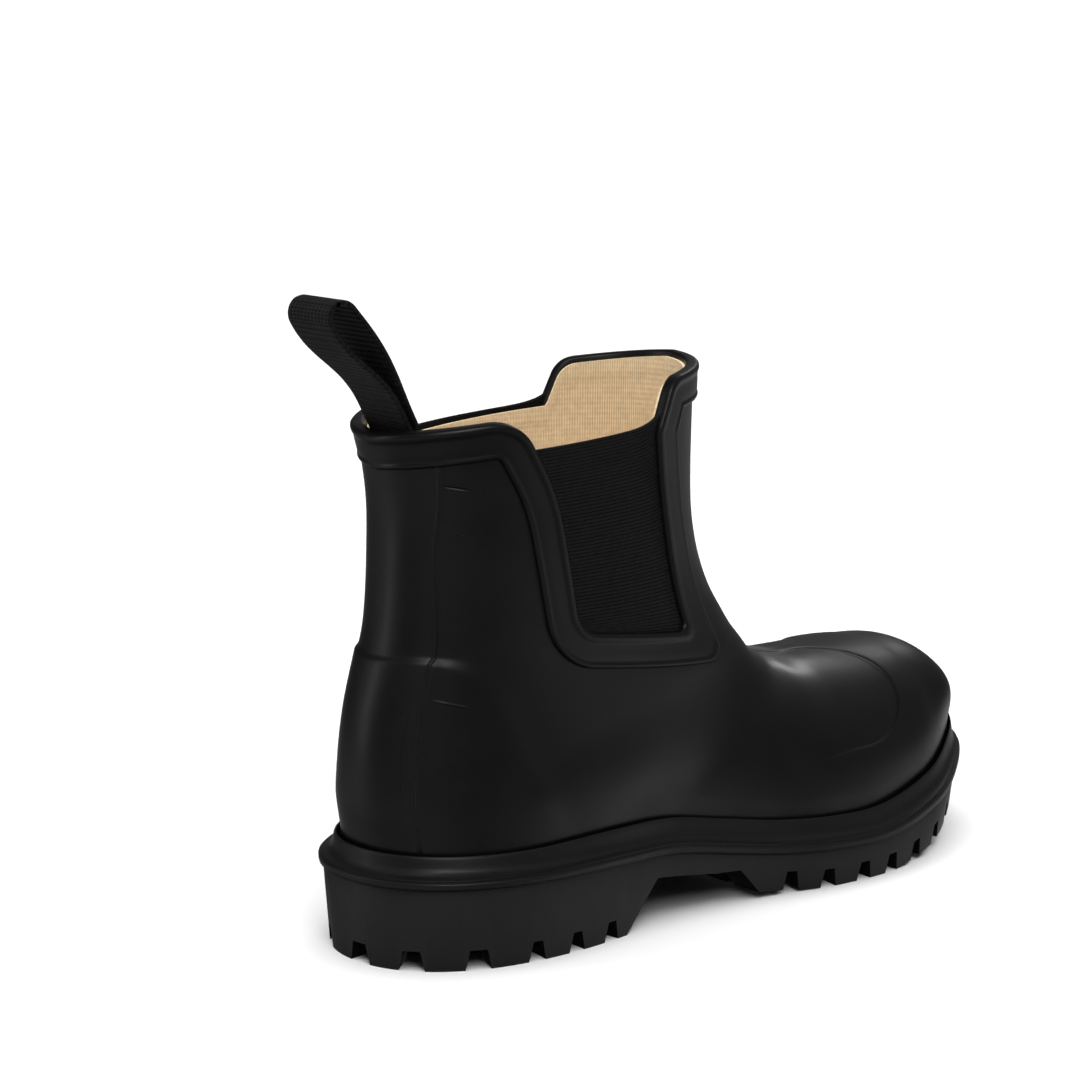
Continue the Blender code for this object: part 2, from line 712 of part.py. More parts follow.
def make_cap(finish):
    origins, directions = ring_rays()
    points = cast(origins, directions)
    points = points[int(np.argmax(points[:, 0, 0] > CAP_BACK)) :]
    normals = outward(points)
    fade = np.clip((points[..., :1] - CAP_BACK) / (LOBE_TIP - CAP_BACK), 0, 1)
    thick = CAP_THIN_END + (CAP_THICK - CAP_THIN_END) * fade
    outer, inner = points + (OVERLAY_GAP + thick) * normals, points + OVERLAY_GAP * normals
    cap = thick_sheet("toe_cap", outer, inner, finish, wrap=True, end_filled=True)
    turns = np.linspace(-math.pi / 2, math.pi / 2, LOBE_POINTS)
    tip = LOBE_TIP - LOBE_HALF
    outline = [(0, -LOBE_HALF)] + [(tip + LOBE_HALF * math.cos(t), LOBE_HALF * math.sin(t)) for t in turns]
    outline += [(0, LOBE_HALF)]
    for name, side in (("outer_lobe_cutter", -1), ("inner_lobe_cutter", 1)):
        out = np.array([0, side * math.sin(LOBE_TURN), math.cos(LOBE_TURN)])
        down = np.array([0, side * math.cos(LOBE_TURN), -math.sin(LOBE_TURN)])
        ends = []
        for depth in LOBE_REACH:
            centre = (0, 0, LOBE_AXIS) + out * depth + down * LOBE_LOW
            ends.append(np.array([centre + (x, 0, 0) + down * t for x, t in outline]))
        cut(cap, cutter(name, [ends]))
    cut(cap, below_line("cap_cutter", between_sole_lines(1, 2 * GAP)))


def make_loop(finish):
    line = finer(rounded(LOOP), LONGEST_STEP)
    normals = right_hand(line)
    section = ((-1, -1), (-1, 1), (1, 1), (1, -1))
    rings = []
    for through, across in section:
        x, z = (line + normals * through * WEB_THICK / 2).T
        rings.append(np.stack([x, np.full_like(x, LOOP_MIDDLE + across * WEB_WIDTH / 2), z], -1))
    tube("pull_loop", np.stack(rings, 1), finish)


def tube(name, rings, finish):
    """Closed body through rings of points, with its first and last ring filled."""
    rings = np.asarray(rings)
    numbers = np.arange(rings.shape[0] * rings.shape[1]).reshape(rings.shape[:2])
    faces = sheet_faces(numbers, True) + [tuple(numbers[0]), tuple(numbers[-1][::-1])]
    return solid(name, rings, faces, finish)


def centred(root):
    """Moves the boot so that the middle of its box stands on the origin."""
    solids = [made for made in bpy.data.objects if made.type == "MESH" and not made.hide_render]
    points = np.array([vertex.co for made in solids for vertex in made.data.vertices])
    middle = (points.min(axis=0) + points.max(axis=0)) / 2
    root.location = (-middle[0], -middle[1], 0)
    for made in bpy.data.objects:
        if made != root:
            made.parent = root


def main():
    for old in list(bpy.data.objects):
        bpy.data.objects.remove(old)
    root = bpy.data.objects.new("boot", None)
    bpy.context.scene.collection.objects.link(root)
    rubber = material("black_rubber", (0.012, 0.012, 0.013), 0.45)
    sole_rubber = material("sole_rubber", (0.014, 0.014, 0.015), 0.6)
    elastic = material("black_elastic", (0.01, 0.01, 0.011), 0.9)
    webbing = material("black_webbing", (0.012, 0.012, 0.012), 0.85)
    board = material("cotton_board", (0.55, 0.42, 0.25), 0.9)
    make_outsole(sole_rubber)
    make_rand(rubber)
    make_insole(board)
    make_upper(rubber)
    make_counter(rubber)
    make_cap(rubber)
    make_strip(rubber)
    make_binding(rubber)
    make_gore("gore_outer", -1, elastic)
    make_gore("gore_inner", 1, elastic)
    make_loop(webbing)
    centred(root)


main()
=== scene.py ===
"""Right ankle boot of rubber, dressed for its picture: skins, seams, ribs, cloth and finishes over the solids.

Tables and sizes are in millimetres, measured from the back of the heel (x), the boot's axis (y) and the floor (z).
"""

import json
import math

import bmesh
import bpy
import numpy as np
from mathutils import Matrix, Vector

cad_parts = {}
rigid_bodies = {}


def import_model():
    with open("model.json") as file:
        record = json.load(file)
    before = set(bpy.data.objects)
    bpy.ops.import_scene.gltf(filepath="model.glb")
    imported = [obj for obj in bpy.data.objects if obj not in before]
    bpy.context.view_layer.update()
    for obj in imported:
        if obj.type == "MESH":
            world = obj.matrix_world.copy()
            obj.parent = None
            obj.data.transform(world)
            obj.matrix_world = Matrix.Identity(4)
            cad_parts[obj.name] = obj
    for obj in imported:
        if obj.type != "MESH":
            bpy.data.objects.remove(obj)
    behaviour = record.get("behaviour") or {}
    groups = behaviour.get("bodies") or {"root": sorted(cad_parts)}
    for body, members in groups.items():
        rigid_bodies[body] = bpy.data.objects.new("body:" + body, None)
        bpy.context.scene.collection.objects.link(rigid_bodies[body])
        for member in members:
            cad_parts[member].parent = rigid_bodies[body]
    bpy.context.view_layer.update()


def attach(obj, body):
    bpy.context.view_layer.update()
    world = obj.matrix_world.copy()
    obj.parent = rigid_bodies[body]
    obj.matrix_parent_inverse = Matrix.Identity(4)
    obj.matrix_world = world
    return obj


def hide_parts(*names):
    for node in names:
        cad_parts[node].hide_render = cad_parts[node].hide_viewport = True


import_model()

bl_info = {
    "name": "Rubber Ankle Boot",
    "version": (1, 0, 0),
    "blender": (4, 5, 0),
    "location": "View3D > Sidebar > Boot",
    "description": "Dresses a rubber ankle boot with its skins, seams, ribs, cloth and finishes",
    "category": "Object",
}

MM = 0.001
BOOT_MIDDLE = np.array([138.08, -2.60, 0.0])

# Foot form: the last in upright sections, a row for each place along the boot
# place x, outer half width, inner half width, height of the widest line, height and inward lean of the crown
FOOT = (
    (24, 26.0, 25.0, 48, 60, 0),
    (46, 30.5, 29.5, 48, 66, 0),
    (78, 35.0, 32.5, 46, 76, 0),
    (116, 36.0, 33.0, 42, 82, 2),
    (157, 41.5, 37.0, 34, 80.8, 4.5),
    (180, 46.5, 40.5, 32, 77.2, 5),
    (203, 48.5, 43.0, 32, 75.2, 4.5),
    (232, 45.0, 43.0, 36, 74.2, 2.5),
    (262, 37.0, 37.5, 40, 75, 0.5),
    (283, 33.0, 36.0, 42, 75, 0),
)
OUTER, INNER, WIDEST, CROWN, LEAN = 1, 2, 3, 4, 5
FOOT_BACK, FOOT_TIP = 24.0, 283.2
HEEL_ROUND, TOE_ROUND, CROWN_ROUND = 30.0, 56.0, 42.0
PLAN_POWER, ARCH_POWER, UNDER_POWER = 2.1, 2.25, 4.0
UNDERSIDE = 45.0

# Fullness of the toe's upper front, which stands out past the plain arch: how far it does,
# and the middle and the width of its rise along the boot and up the toe
TOE_FULL = 4.4
TOE_FULL_X = (254.5, 23.0)
TOE_FULL_Z = (51.0, 22.0)

# Shaft form: level ovals, a row for each height
# height z, back x, front x, half width
SHAFT = (
    (0, 7.0, 100, 36.6),
    (28, 4.6, 112, 37.8),
    (45, 3.2, 130, 38.4),
    (57, 3.2, 150, 38.0),
    (72, 3.8, 168, 36.8),
    (85, 5.8, 172, 35.8),
    (97, 9.2, 164, 35.0),
    (110, 12.6, 155, 34.8),
    (122, 14.2, 149.5, 34.8),
    (134, 15.0, 146.2, 35.0),
    (156, 15.0, 144.8, 35.2),
    (166, 13.6, 144.8, 35.8),
    (180, 10.0, 145.0, 36.8),
    (200, 6.8, 146.0, 37.4),
)
OVAL_POWER = 2.15
BLEND = 12.0
FIELD_SCALE = 36.0
FLOOR = -5.0

# Ray fan that turns the form into rings, from the top of the shaft to the toe
# origin x, origin z, tilt of the ring's plane, opening of its cone
FAN = (
    (81, 203, 3, 0),
    (81, 172, 4, 0),
    (81, 141, 5, 0),
    (82, 114, 8, 0),
    (84, 93, 14, 0),
    (88, 77, 23, 0),
    (96, 65, 34, 0),
    (110, 56, 46, 0),
    (130, 50, 58, 0),
    (154, 46, 69, 0),
    (180, 43, 79, 0),
    (206, 42, 88, 0),
    (228, 42, 90, 4),
    (238, 42, 90, 22),
    (240, 42, 90, 45),
    (240, 42, 90, 68),
    (240, 42, 90, 88),
)
SHAFT_SQUEEZE = 0.6
REACH = 230.0
BISECTIONS = 30
SPOKES = 256
# Rings of the skin: row of the fan where a run starts, rings in the run
RING_RUNS = (
    (0.0, 30),
    (3.0, 44),
    (4.1, 56),
    (10.6, 112),
)

# Sole, a row for each place along the boot
# place x, top of the outsole, top of the rand, bottom of the tread, edge of the outsole past the upper
SOLE = (
    (-10, 28.5, 39.4, 0, 6.6),
    (40, 27.8, 38.0, 0, 6.6),
    (84, 26.3, 38.2, 0, 6.6),
    (112, 23.6, 35.8, 0, 6.4),
    (136, 19.0, 31.2, 3.0, 6.2),
    (160, 15.2, 27.0, 1.6, 6.2),
    (178, 14.2, 25.6, 0, 6.4),
    (203, 14.2, 25.6, 0, 6.4),
    (214, 15.6, 27.2, 0.6, 6.2),
    (236, 20.0, 32.0, 3.8, 5.2),
    (262, 25.6, 38.6, 9.0, 4.0),
    (300, 31.0, 44.5, 17.5, 3.4),
)
OUTSOLE_TOP, RAND_TOP, TREAD, MARGIN = 1, 2, 3, 4
HEEL_CENTRE, TOE_CENTRE = 46.0, 228.0
HEEL_STEPS, SIDE_STEPS, TOE_STEPS = 44, 110, 56
SIDE_DRAFT = 2.0
LIP = 1.3
SETTLING_ROUNDS = 4
GAP = 0.3
FEATHER_GAP = 0.4
BEYOND = 400.0

# Cross section of the rand: a lip, a fine groove over it and a hollow slope up to a thin rounded edge
# distance out as a share from the upper (0) to the lip (1), height as a share from the outsole's top (0) to the rand's
RAND_SECTION = (
    (0.94, 0.00),
    (1.00, 0.02),
    (1.02, 0.09),
    (1.02, 0.20),
    (1.00, 0.245),
    (0.95, 0.265),
    (0.90, 0.27),
    (0.89, 0.29),
    (0.90, 0.315),
    (0.85, 0.335),
    (0.75, 0.355),
    (0.64, 0.385),
    (0.55, 0.43),
    (0.475, 0.49),
    (0.42, 0.56),
    (0.375, 0.65),
    (0.34, 0.74),
    (0.31, 0.82),
    (0.28, 0.90),
    (0.25, 0.955),
    (0.22, 0.985),
    (0.18, 0.985),
    (0.15, 0.955),
    (0.12, 0.90),
    (0.06, 0.82),
)
RAND_BACKING = (0.72, 0.4, 0.0)
# Folds in the hollow of the rand at the heel's outer side
# distance along the edge from the heel's back, half length, height share, how far it stands out
RAND_FOLDS = (
    (34, 22, 0.36, 0.60),
    (46, 15, 0.42, 0.55),
    (26, 11, 0.48, 0.40),
    (60, 13, 0.385, 0.50),
)
FOLD_HALF = 0.024

# Arch gap of the outsole, seen from the side, and the lug notches along the sole's edge
ARCH_GAP = (
    (82, -5.0),
    (86, 0.0),
    (101, 17.2),
    (129, 13.2),
    (139, 12.6),
    (148, 3.0),
    (148, -5.0),
)
NOTCH_HIGH, NOTCH_DEEP, NOTCH_OVERRUN = 7.0, 13.0, 4.0
HEEL_NOTCH = (6.0, 9.0)
SIDE_NOTCH = (3.6, 6.6)
FOREFOOT_NOTCH = (4.2, 6.6)
OUTER_HEEL = (4, 24, 46.5)
OUTER_SIDE = (68, 84.5, 100.5)
INNER_HEEL = (19, 41, 62, 81, 98)
OUTER_FOREFOOT = (184.5, 200.5, 217, 231.5, 247, 263, 281, 300)
INNER_FOREFOOT = (184, 200, 216, 232, 248, 265, 283)
CHANNEL_IN = (12.0, 16.0)
CHANNEL_HIGH = 5.0
CROSS_GROOVES = (24, 40, 56, 72, 166, 182, 198, 214, 230, 246)
GROOVE_WIDE, GROOVE_HIGH, GROOVE_SHORT = 4.0, 4.0, 10.0
SOLE_SHARP = 38
INSOLE_THICK, INSOLE_TUCK = 3.0, 0.4

# Line of the collar and the gore openings on the unrolled shaft, from the back centre to the front
# distance round the shaft, height, corner radius
COLLAR = (
    (0, 176.3, 0),
    (48.0, 181.6, 14),
    (61.8, 154.0, 80),
    (70.9, 106.9, 11),
    (121.6, 99.0, 3),
    (106.9, 171.5, 6),
    (114.2, 188.6, 9),
)
COLLAR_FRONT = 192.2
TIGHT_CORNER, TIGHT_SHARE = 4, 0.2
# distance round the shaft, how much farther forward the same place lies on the inner side
INNER_FORWARD = (
    (0, 0),
    (48, 0),
    (76, 1.0),
    (106, 4.6),
    (122, 4.6),
    (160, 0),
)
GIRTH_HEIGHT, SHAFT_AXIS = 140.0, 81.0
GORE_TOP_REAR, GORE_TOP_FRONT = 170.5, 177.5
GORE_SAG, GORE_SAG_POWER = 3.5, 10
GORE_CORNER = 80.0
GORE_TUCK = 0.3
GORE_SET_BACK, GORE_THICK, RIB_SINK = 0.7, 1.3, 0.15
GORE_EDGE_STEP = 0.5
GORE_ROWS, GORE_COLUMNS, RIB_COLUMNS = 40, 30, 26
ARC_STEP = math.radians(4)
COLLAR_STEP = 1.3
SMALLEST_CORNER = 0.3
COLLAR_COVER = 2.4
SKIN_FOOT = 5.0
INSIDE_SHARE = 0.75

# Section of the collar binding round the upper's edge, from inside over the rim to the band's lower bead
# distance from the edge, height over the upper
BINDING = (
    (2.6, -2.75),
    (0.4, -2.75),
    (-0.2, -2.5),
    (-0.5, -1.8),
    (-0.5, 0.3),
    (-0.35, 1.1),
    (0.15, 1.65),
    (0.9, 1.85),
    (1.7, 1.8),
    (2.3, 1.6),
    (2.8, 1.45),
    (3.5, 1.42),
    (6.0, 1.5),
    (8.6, 1.5),
    (9.2, 1.42),
    (9.5, 1.5),
    (9.9, 1.72),
    (10.5, 1.78),
    (11.1, 1.6),
    (11.45, 1.1),
    (11.6, 0.5),
    (11.6, -0.2),
)

# Heel counter: height of its upper edge, a row for each angle from the heel's back
COUNTER = (
    (0, 102),
    (30, 102.5),
    (52, 99.5),
    (71, 91),
    (88, 74),
    (98, 58),
    (103, 48),
    (118, 10),
)
COUNTER_AXIS = 50.0
COUNTER_SOFT, COUNTER_CRISP = 2.2, 45.0
# Back strip: height, half width
STRIP = (
    (30, 21.6),
    (42, 21.3),
    (84, 19.8),
    (102, 19.4),
    (122, 18.2),
    (136, 17.7),
    (162, 19.6),
    (185, 21.0),
)
STRIP_SOFT, STRIP_LINE = 2.2, 3.0
STRIP_SEAM_DEEP, STRIP_LINE_DEEP = 1.2, 0.6
STRIP_LINE_SPAN = (52.0, 88.0)
STRIP_END, STRIP_FADE = 62.0, 20.0
SWELL, SWELL_SOFT = 0.5, 18.0
FOOT_FADE = 18.0

# Toe cap: the lobes of the vamp that it leaves free, each a half-round tongue in a leaning plane
CAP_SOFT, CAP_SWELL, CAP_SWELL_SOFT = 2.4, 0.6, 40.0
LOBE_TIP = 228.5
LOBE_TURN = math.radians(42)
LOBE_LOW, LOBE_HALF, LOBE_AXIS = 4.0, 25.0, 40.0
CAP_TOP_FADE = (166.0, 190.0)
CAP_LOW_FADE = (172.0, 216.0)

# Flex waves across the vamp: place x, half length, height
FLEX = (
    (178, 5.5, -0.25),
    (188, 5.0, 0.45),
    (199, 5.5, -0.20),
    (209, 5.0, 0.10),
)
FLEX_MIDDLE, FLEX_HALF, FLEX_FOOT, FLEX_RISE, FLEX_LEAN = -8.0, 24.0, 52.0, 20.0, 0.12
# Place polished by bending: x, half length, y, half width
SHINE = (189.0, 10.0, -10.0, 20.0)
# Fine folds of the skin on the outer side: start and end (x, y, z), how much each stands out
FOLDS = (
    (23.0, -18.8, 160.8, 32.0, -25.6, 158.8, -0.6),
    (18.5, -19.6, 90.2, 31.0, -26.6, 86.6, 0.6),
)
FOLD_REACH = 9.0

# Lining of the shaft, with a hem along its upper edge
LINING_SET_BACK, LINING_THICK = 0.25, 0.8
LINING_DROP = 1.8
LINING_BACK_DROP, LINING_BACK_HALF = 5.0, 22.0
LINING_FOOT = 90.0
LINING_COLUMNS, LINING_ROWS, HEM_ROWS = 320, 30, 7
HEM, HEM_SHARE = 6.0, 0.075
HEM_THICK, HEM_SOFT = 0.25, 1.0

# Pull loop, seen from the side: the middle line of the webbing
# place x, height, bend radius
LOOP = (
    (23.6, 160.0, 0),
    (19.6, 178.0, 12),
    (-13.9, 219.0, 4.4),
    (-6.6, 222.9, 4.8),
    (21.6, 180.0, 12),
    (25.6, 160.0, 0),
)
LOOP_MIDDLE, LOOP_HELD = 1.2, 0.28
LOOP_SWAY, LOOP_BOW = 1.9, 2.8
LOOP_STEP = 1.0
WEB_RIB_BED, WEB_RIB_END = 0.34, 1.0
WEB_RIB_PLACES = np.array([-0.9, -0.3, 0.3, 0.9])
# Section of the webbing, shares of half its thickness and half its width
WEB_SECTION = (
    (-0.72, -1.0),
    (-1.0, -0.93),
    (-0.92, -0.86),
    (-0.92, 0.0),
    (-0.92, 0.86),
    (-1.0, 0.93),
    (-0.72, 1.0),
    (0.72, 1.0),
    (1.0, 0.93),
    (0.92, 0.86),
    (0.92, 0.0),
    (0.92, -0.86),
    (1.0, -0.93),
    (0.72, -1.0),
)

# Camera of the picture, in the boot's own millimetres
CAMERA_TARGET = np.array([83.09, 0.0, 132.13])
CAMERA_AZIMUTH, CAMERA_ELEVATION = math.radians(-41.0), math.radians(11.194)
CAMERA_DISTANCE = 1019.8
CAMERA_LENS, CAMERA_SENSOR = 98.893, 36.0

# Finishes: span of an effect's shade that varies the roughness, depth of the marked seams in metres,
# least and most coat where the skin is marked as polished, sockets of the Mix node that hold colours
SHADE_SPAN = (0.3, 0.7)
SEAM_DEEP = 0.0004
COAT_SPAN = (0.03, 0.9)
MIX_A, MIX_B, MIX_RESULT = 6, 7, 2

# Soft boxes: place x, y, z in metres, width, height, power in watts
SOFT_BOXES = (
    ("soft_box_back", (-1.6, 0.9, 0.55), (0.35, 1.3), 3.5),
    ("soft_box_front", (1.25, 0.61, 0.95), (0.35, 0.35), 1.3),
    ("soft_box_heel", (-0.62, -1.05, 1.15), (0.5, 0.8), 7.5),
)
LIGHT_AIM = (0.0, 0.0, 0.1)
# Wide light from overhead that whitens the floor
OVERHEAD_STRENGTH, OVERHEAD_WIDTH = 3.7, math.radians(85)
# Sky that the rubber mirrors: height of the direction, share of its strength
SKY = (
    (-1.0, 0.0),
    (-0.6, 0.10),
    (-0.33, 0.34),
    (-0.2, 0.20),
    (-0.08, 0.075),
    (0.0, 0.068),
    (0.3, 0.055),
    (0.7, 0.075),
    (1.0, 0.10),
)
SKY_STRENGTH = 2.7
# The same by the direction's x, from behind the heel to ahead of the toe
SKY_ROUND = (
    (-1.0, 0.32),
    (-0.75, 0.62),
    (-0.5, 0.46),
    (-0.22, 0.24),
    (0.15, 0.20),
    (0.5, 0.95),
    (0.75, 1.0),
    (1.0, 0.6),
)
FLOOR_RADIUS = 14.0
FLOOR_SIDES = 96
NEAR, FAR = 0.05, 100.0


def length_property(name, description, default):
    return bpy.props.FloatProperty(name=name, description=description, default=default, unit="LENGTH")


def colour_property(name, description, default):
    return bpy.props.FloatVectorProperty(
        name=name, description=description, default=default, subtype="COLOR", size=3
    )


class BootSizes(bpy.types.PropertyGroup):
    """Sizes of the boot's layers, in metres."""

    wall: length_property("Upper wall", "Thickness of the rubber upper", 0.0026)
    counter: length_property("Heel counter", "Height of the heel counter over the upper", 0.0009)
    cap: length_property("Toe cap", "Height of the toe cap over the vamp", 0.0005)
    strip: length_property("Back strip", "Height of the strip up the back of the shaft", 0.0004)
    rib_pitch: length_property("Elastic rib pitch", "Distance between the ribs of the gores", 0.0012)
    rib_radius: length_property("Elastic rib radius", "Radius of each rib of the gores", 0.00045)
    web_width: length_property("Webbing width", "Width of the pull loop's webbing", 0.0225)
    web_thick: length_property("Webbing thickness", "Thickness of the pull loop's webbing", 0.0017)
    web_pitch: length_property("Webbing rib pitch", "Distance between the cross ribs of the webbing", 0.001)
    web_rib: length_property("Webbing rib radius", "Radius of each cross rib of the webbing", 0.00036)
    sole_round: length_property("Sole edge", "Rounding of the outsole's edges", 0.0005)


class BootColours(bpy.types.PropertyGroup):
    """Colours of the boot's finishes, linear."""

    rubber: colour_property("Rubber", "Colour of the upper's rubber", (0.0024, 0.0024, 0.0025))
    sole: colour_property("Sole", "Colour of the outsole's rubber", (0.0095, 0.0095, 0.0098))
    # Painted shade: a darker colour for the tread's notches, the arch, the channel and the grooves, where shade falls.
    recess: colour_property("Painted hollow shade", "Colour inside the tread's notches and the arch", (0.0016, 0.0016, 0.0016))
    elastic: colour_property("Elastic", "Colour of the gores' elastic", (0.0021, 0.0021, 0.0022))
    webbing: colour_property("Webbing", "Colour of the pull loop", (0.004, 0.004, 0.0042))
    cotton: colour_property("Cotton", "Colour of the lining and the insole", (0.82, 0.635, 0.40))
    floor: colour_property("Floor", "Colour of the studio's floor", (0.93, 0.93, 0.93))


def table(rows, column, at):
    """Smooth curve through one column of a table, over its first column."""
    rows = np.asarray(rows, float)
    places, values = rows[:, 0], rows[:, column]
    slopes = np.gradient(values, places)
    at = np.clip(at, places[0], places[-1])
    i = np.clip(np.searchsorted(places, at) - 1, 0, len(places) - 2)
    span = places[i + 1] - places[i]
    t = (at - places[i]) / span
    start = (2 * t**3 - 3 * t**2 + 1) * values[i] + (t**3 - 2 * t**2 + t) * span * slopes[i]
    end = (3 * t**2 - 2 * t**3) * values[i + 1] + (t**3 - t**2) * span * slopes[i + 1]
    return start + end


def soft_step(distance, width):
    """Smooth step from 0 to 1 across a line, over this width."""
    share = np.clip(distance / width + 0.5, 0, 1)
    return share * share * (3 - 2 * share)


def rounding(x, start, length, power):
    """Superellipse that falls from 1 at start to 0 at start + length."""
    share = np.clip((x - start) / length, 0, 0.9999)
    return (1 - share**power) ** (1 / power)


def foot_field(x, y, z):
    outer, inner, widest, crown, lean = (table(FOOT, column, x) for column in (OUTER, INNER, WIDEST, CROWN, LEAN))
    heel = np.clip((FOOT_BACK + HEEL_ROUND - x) / HEEL_ROUND, 0, None)
    toe = np.clip((x - FOOT_TIP + TOE_ROUND) / TOE_ROUND, 0, None)
    middle = (inner - outer) / 2 + lean * np.clip((z - widest) / (crown - widest), 0, 1)
    aside = np.abs(y - middle) / ((outer + inner) / 2)
    across = (aside**PLAN_POWER + heel**PLAN_POWER + toe**PLAN_POWER) ** (1 / PLAN_POWER)
    rise = (crown - widest) * rounding(x, FOOT_TIP - CROWN_ROUND, CROWN_ROUND, PLAN_POWER)
    over = (across**ARCH_POWER + (np.clip(z - widest, 0, None) / rise) ** ARCH_POWER) ** (1 / ARCH_POWER)
    under = (across**UNDER_POWER + (np.clip(widest - z, 0, None) / UNDERSIDE) ** UNDER_POWER) ** (1 / UNDER_POWER)
    return np.where(z > widest, over, under) - 1


def toe_fullness(x, z):
    """How far the toe's upper front stands out past the plain arch."""
    (place, run), (height, depth) = TOE_FULL_X, TOE_FULL_Z
    return TOE_FULL * soft_step(x - place, run) * soft_step(z - height, depth)


def shaft_field(x, y, z):
    back, front, half = (table(SHAFT, column, z) for column in (1, 2, 3))
    along = np.abs(x - (back + front) / 2) / ((front - back) / 2)
    return (along**OVAL_POWER + np.abs(y / half) ** OVAL_POWER) ** (1 / OVAL_POWER) - 1


def field(points):
    """Below zero inside the boot's outer form: the foot and the shaft, melted together."""
    x, y, z = np.moveaxis(np.asarray(points, float), -1, 0)
    foot = foot_field(x, y, z) * FIELD_SCALE - toe_fullness(x, z)
    shaft = shaft_field(x, y, z) * FIELD_SCALE
    share = np.clip(0.5 + 0.5 * (shaft - foot) / BLEND, 0, 1)
    melted = shaft + (foot - shaft) * share - BLEND * share * (1 - share)
    return np.maximum(melted, FLOOR - z)


def cast(origins, directions):
    """Points where rays from inside leave the outer form."""
    origins, directions = np.broadcast_arrays(np.asarray(origins, float), np.asarray(directions, float))
    near = np.zeros(origins.shape[:-1])
    far = np.full(origins.shape[:-1], REACH)
    for _ in range(BISECTIONS):
        middle = (near + far) / 2
        outside = field(origins + directions * middle[..., None]) > 0
        far = np.where(outside, middle, far)
        near = np.where(outside, near, middle)
    return origins + directions * near[..., None]


def outward(points):
    """Unit normals of the outer form."""
    step = 0.2
    slopes = [field(points + step * axis) - field(points - step * axis) for axis in np.eye(3)]
    slopes = np.stack(slopes, -1)
    return slopes / np.linalg.norm(slopes, axis=-1, keepdims=True)


def ring_rays():
    """Origins and directions of the rings of rays that wrap the boot, close together over the toe."""
    ends = [start for start, _ in RING_RUNS[1:]] + [len(FAN) - 1]
    runs = [np.linspace(start, end, count, endpoint=False) for (start, count), end in zip(RING_RUNS, ends)]
    steps = np.append(np.concatenate(runs), len(FAN) - 1)
    rows = [(i, *row) for i, row in enumerate(FAN)]
    x, z, tilt, cone = (table(rows, column, steps) for column in (1, 2, 3, 4))
    tilt, cone = np.radians(tilt), np.radians(cone)
    squeeze = SHAFT_SQUEEZE + (1 - SHAFT_SQUEEZE) * np.sin(tilt)[:, None]
    turn = np.linspace(0, 2 * math.pi, SPOKES, endpoint=False)
    turn = np.arctan2(squeeze * np.sin(turn), np.cos(turn))
    zero = np.zeros_like(tilt)
    front = np.stack([np.cos(tilt), zero, np.sin(tilt)], -1)
    ahead = np.stack([np.sin(tilt), zero, -np.cos(tilt)], -1)
    side = np.array([0.0, 1.0, 0.0])
    flat = np.cos(turn)[..., None] * front[:, None] + np.sin(turn)[..., None] * side
    directions = flat * np.cos(cone)[:, None, None] + ahead[:, None] * np.sin(cone)[:, None, None]
    origins = np.stack([x, zero, z], -1)[:, None]
    return origins, directions


def rounded(corners):
    """Points along straight runs joined by arcs, from rows of place, height and radius."""
    corners = np.asarray(corners, float)
    points = [corners[0, :2]]
    for before, corner, after in zip(corners[:-2], corners[1:-1], corners[2:]):
        into = (corner - before)[:2] / np.linalg.norm((corner - before)[:2])
        leaving = (after - corner)[:2] / np.linalg.norm((after - corner)[:2])
        turn = math.atan2(into[0] * leaving[1] - into[1] * leaving[0], into @ leaving)
        start = corner[:2] - into * corner[2] * math.tan(abs(turn) / 2)
        spoke = math.copysign(corner[2], turn) * np.array([into[1], -into[0]])
        for angle in np.linspace(0, turn, max(2, math.ceil(abs(turn) / ARC_STEP)) + 1):
            spun = np.array([[math.cos(angle), -math.sin(angle)], [math.sin(angle), math.cos(angle)]]) @ spoke
            points.append(start - spoke + spun)
    points.append(corners[-1, :2])
    return np.array(points)


def finer(points, longest):
    """The same line with no step longer than this."""
    made = [points[:1]]
    for start, end in zip(points[:-1], points[1:]):
        steps = max(1, math.ceil(np.linalg.norm(end - start) / longest))
        made.append(start + (end - start) * np.linspace(0, 1, steps + 1)[1:, None])
    return np.concatenate(made)


def length_along(points):
    return np.concatenate([[0], np.cumsum(np.linalg.norm(np.diff(points, axis=0), axis=1))])


def spaced(points, count):
    """This many points at equal steps along a line."""
    along = length_along(points)
    places = np.linspace(0, along[-1], count)
    return np.stack([np.interp(places, along, column) for column in points.T], -1)


def right_hand(points, at_points=True):
    """Unit normals to the right of a line in its own plane, at its points or at its runs."""
    ahead = np.diff(points, axis=0)
    ahead = ahead / np.linalg.norm(ahead, axis=1, keepdims=True)
    if at_points:
        ahead = np.concatenate([ahead[:1], ahead[:-1] + ahead[1:], ahead[-1:]])
        ahead = ahead / np.linalg.norm(ahead, axis=1, keepdims=True)
    return np.stack([ahead[:, 1], -ahead[:, 0]], -1)


def girth():
    """Angles from the back of the shaft to its front, and the distance round the shaft to each."""
    angles = np.linspace(0, math.pi, 181)
    level = np.stack([-np.cos(angles), -np.sin(angles), np.zeros_like(angles)], -1)
    points = cast((SHAFT_AXIS, 0, GIRTH_HEIGHT), level)
    return angles, length_along(points)


GIRTH_ANGLES, GIRTH = girth()


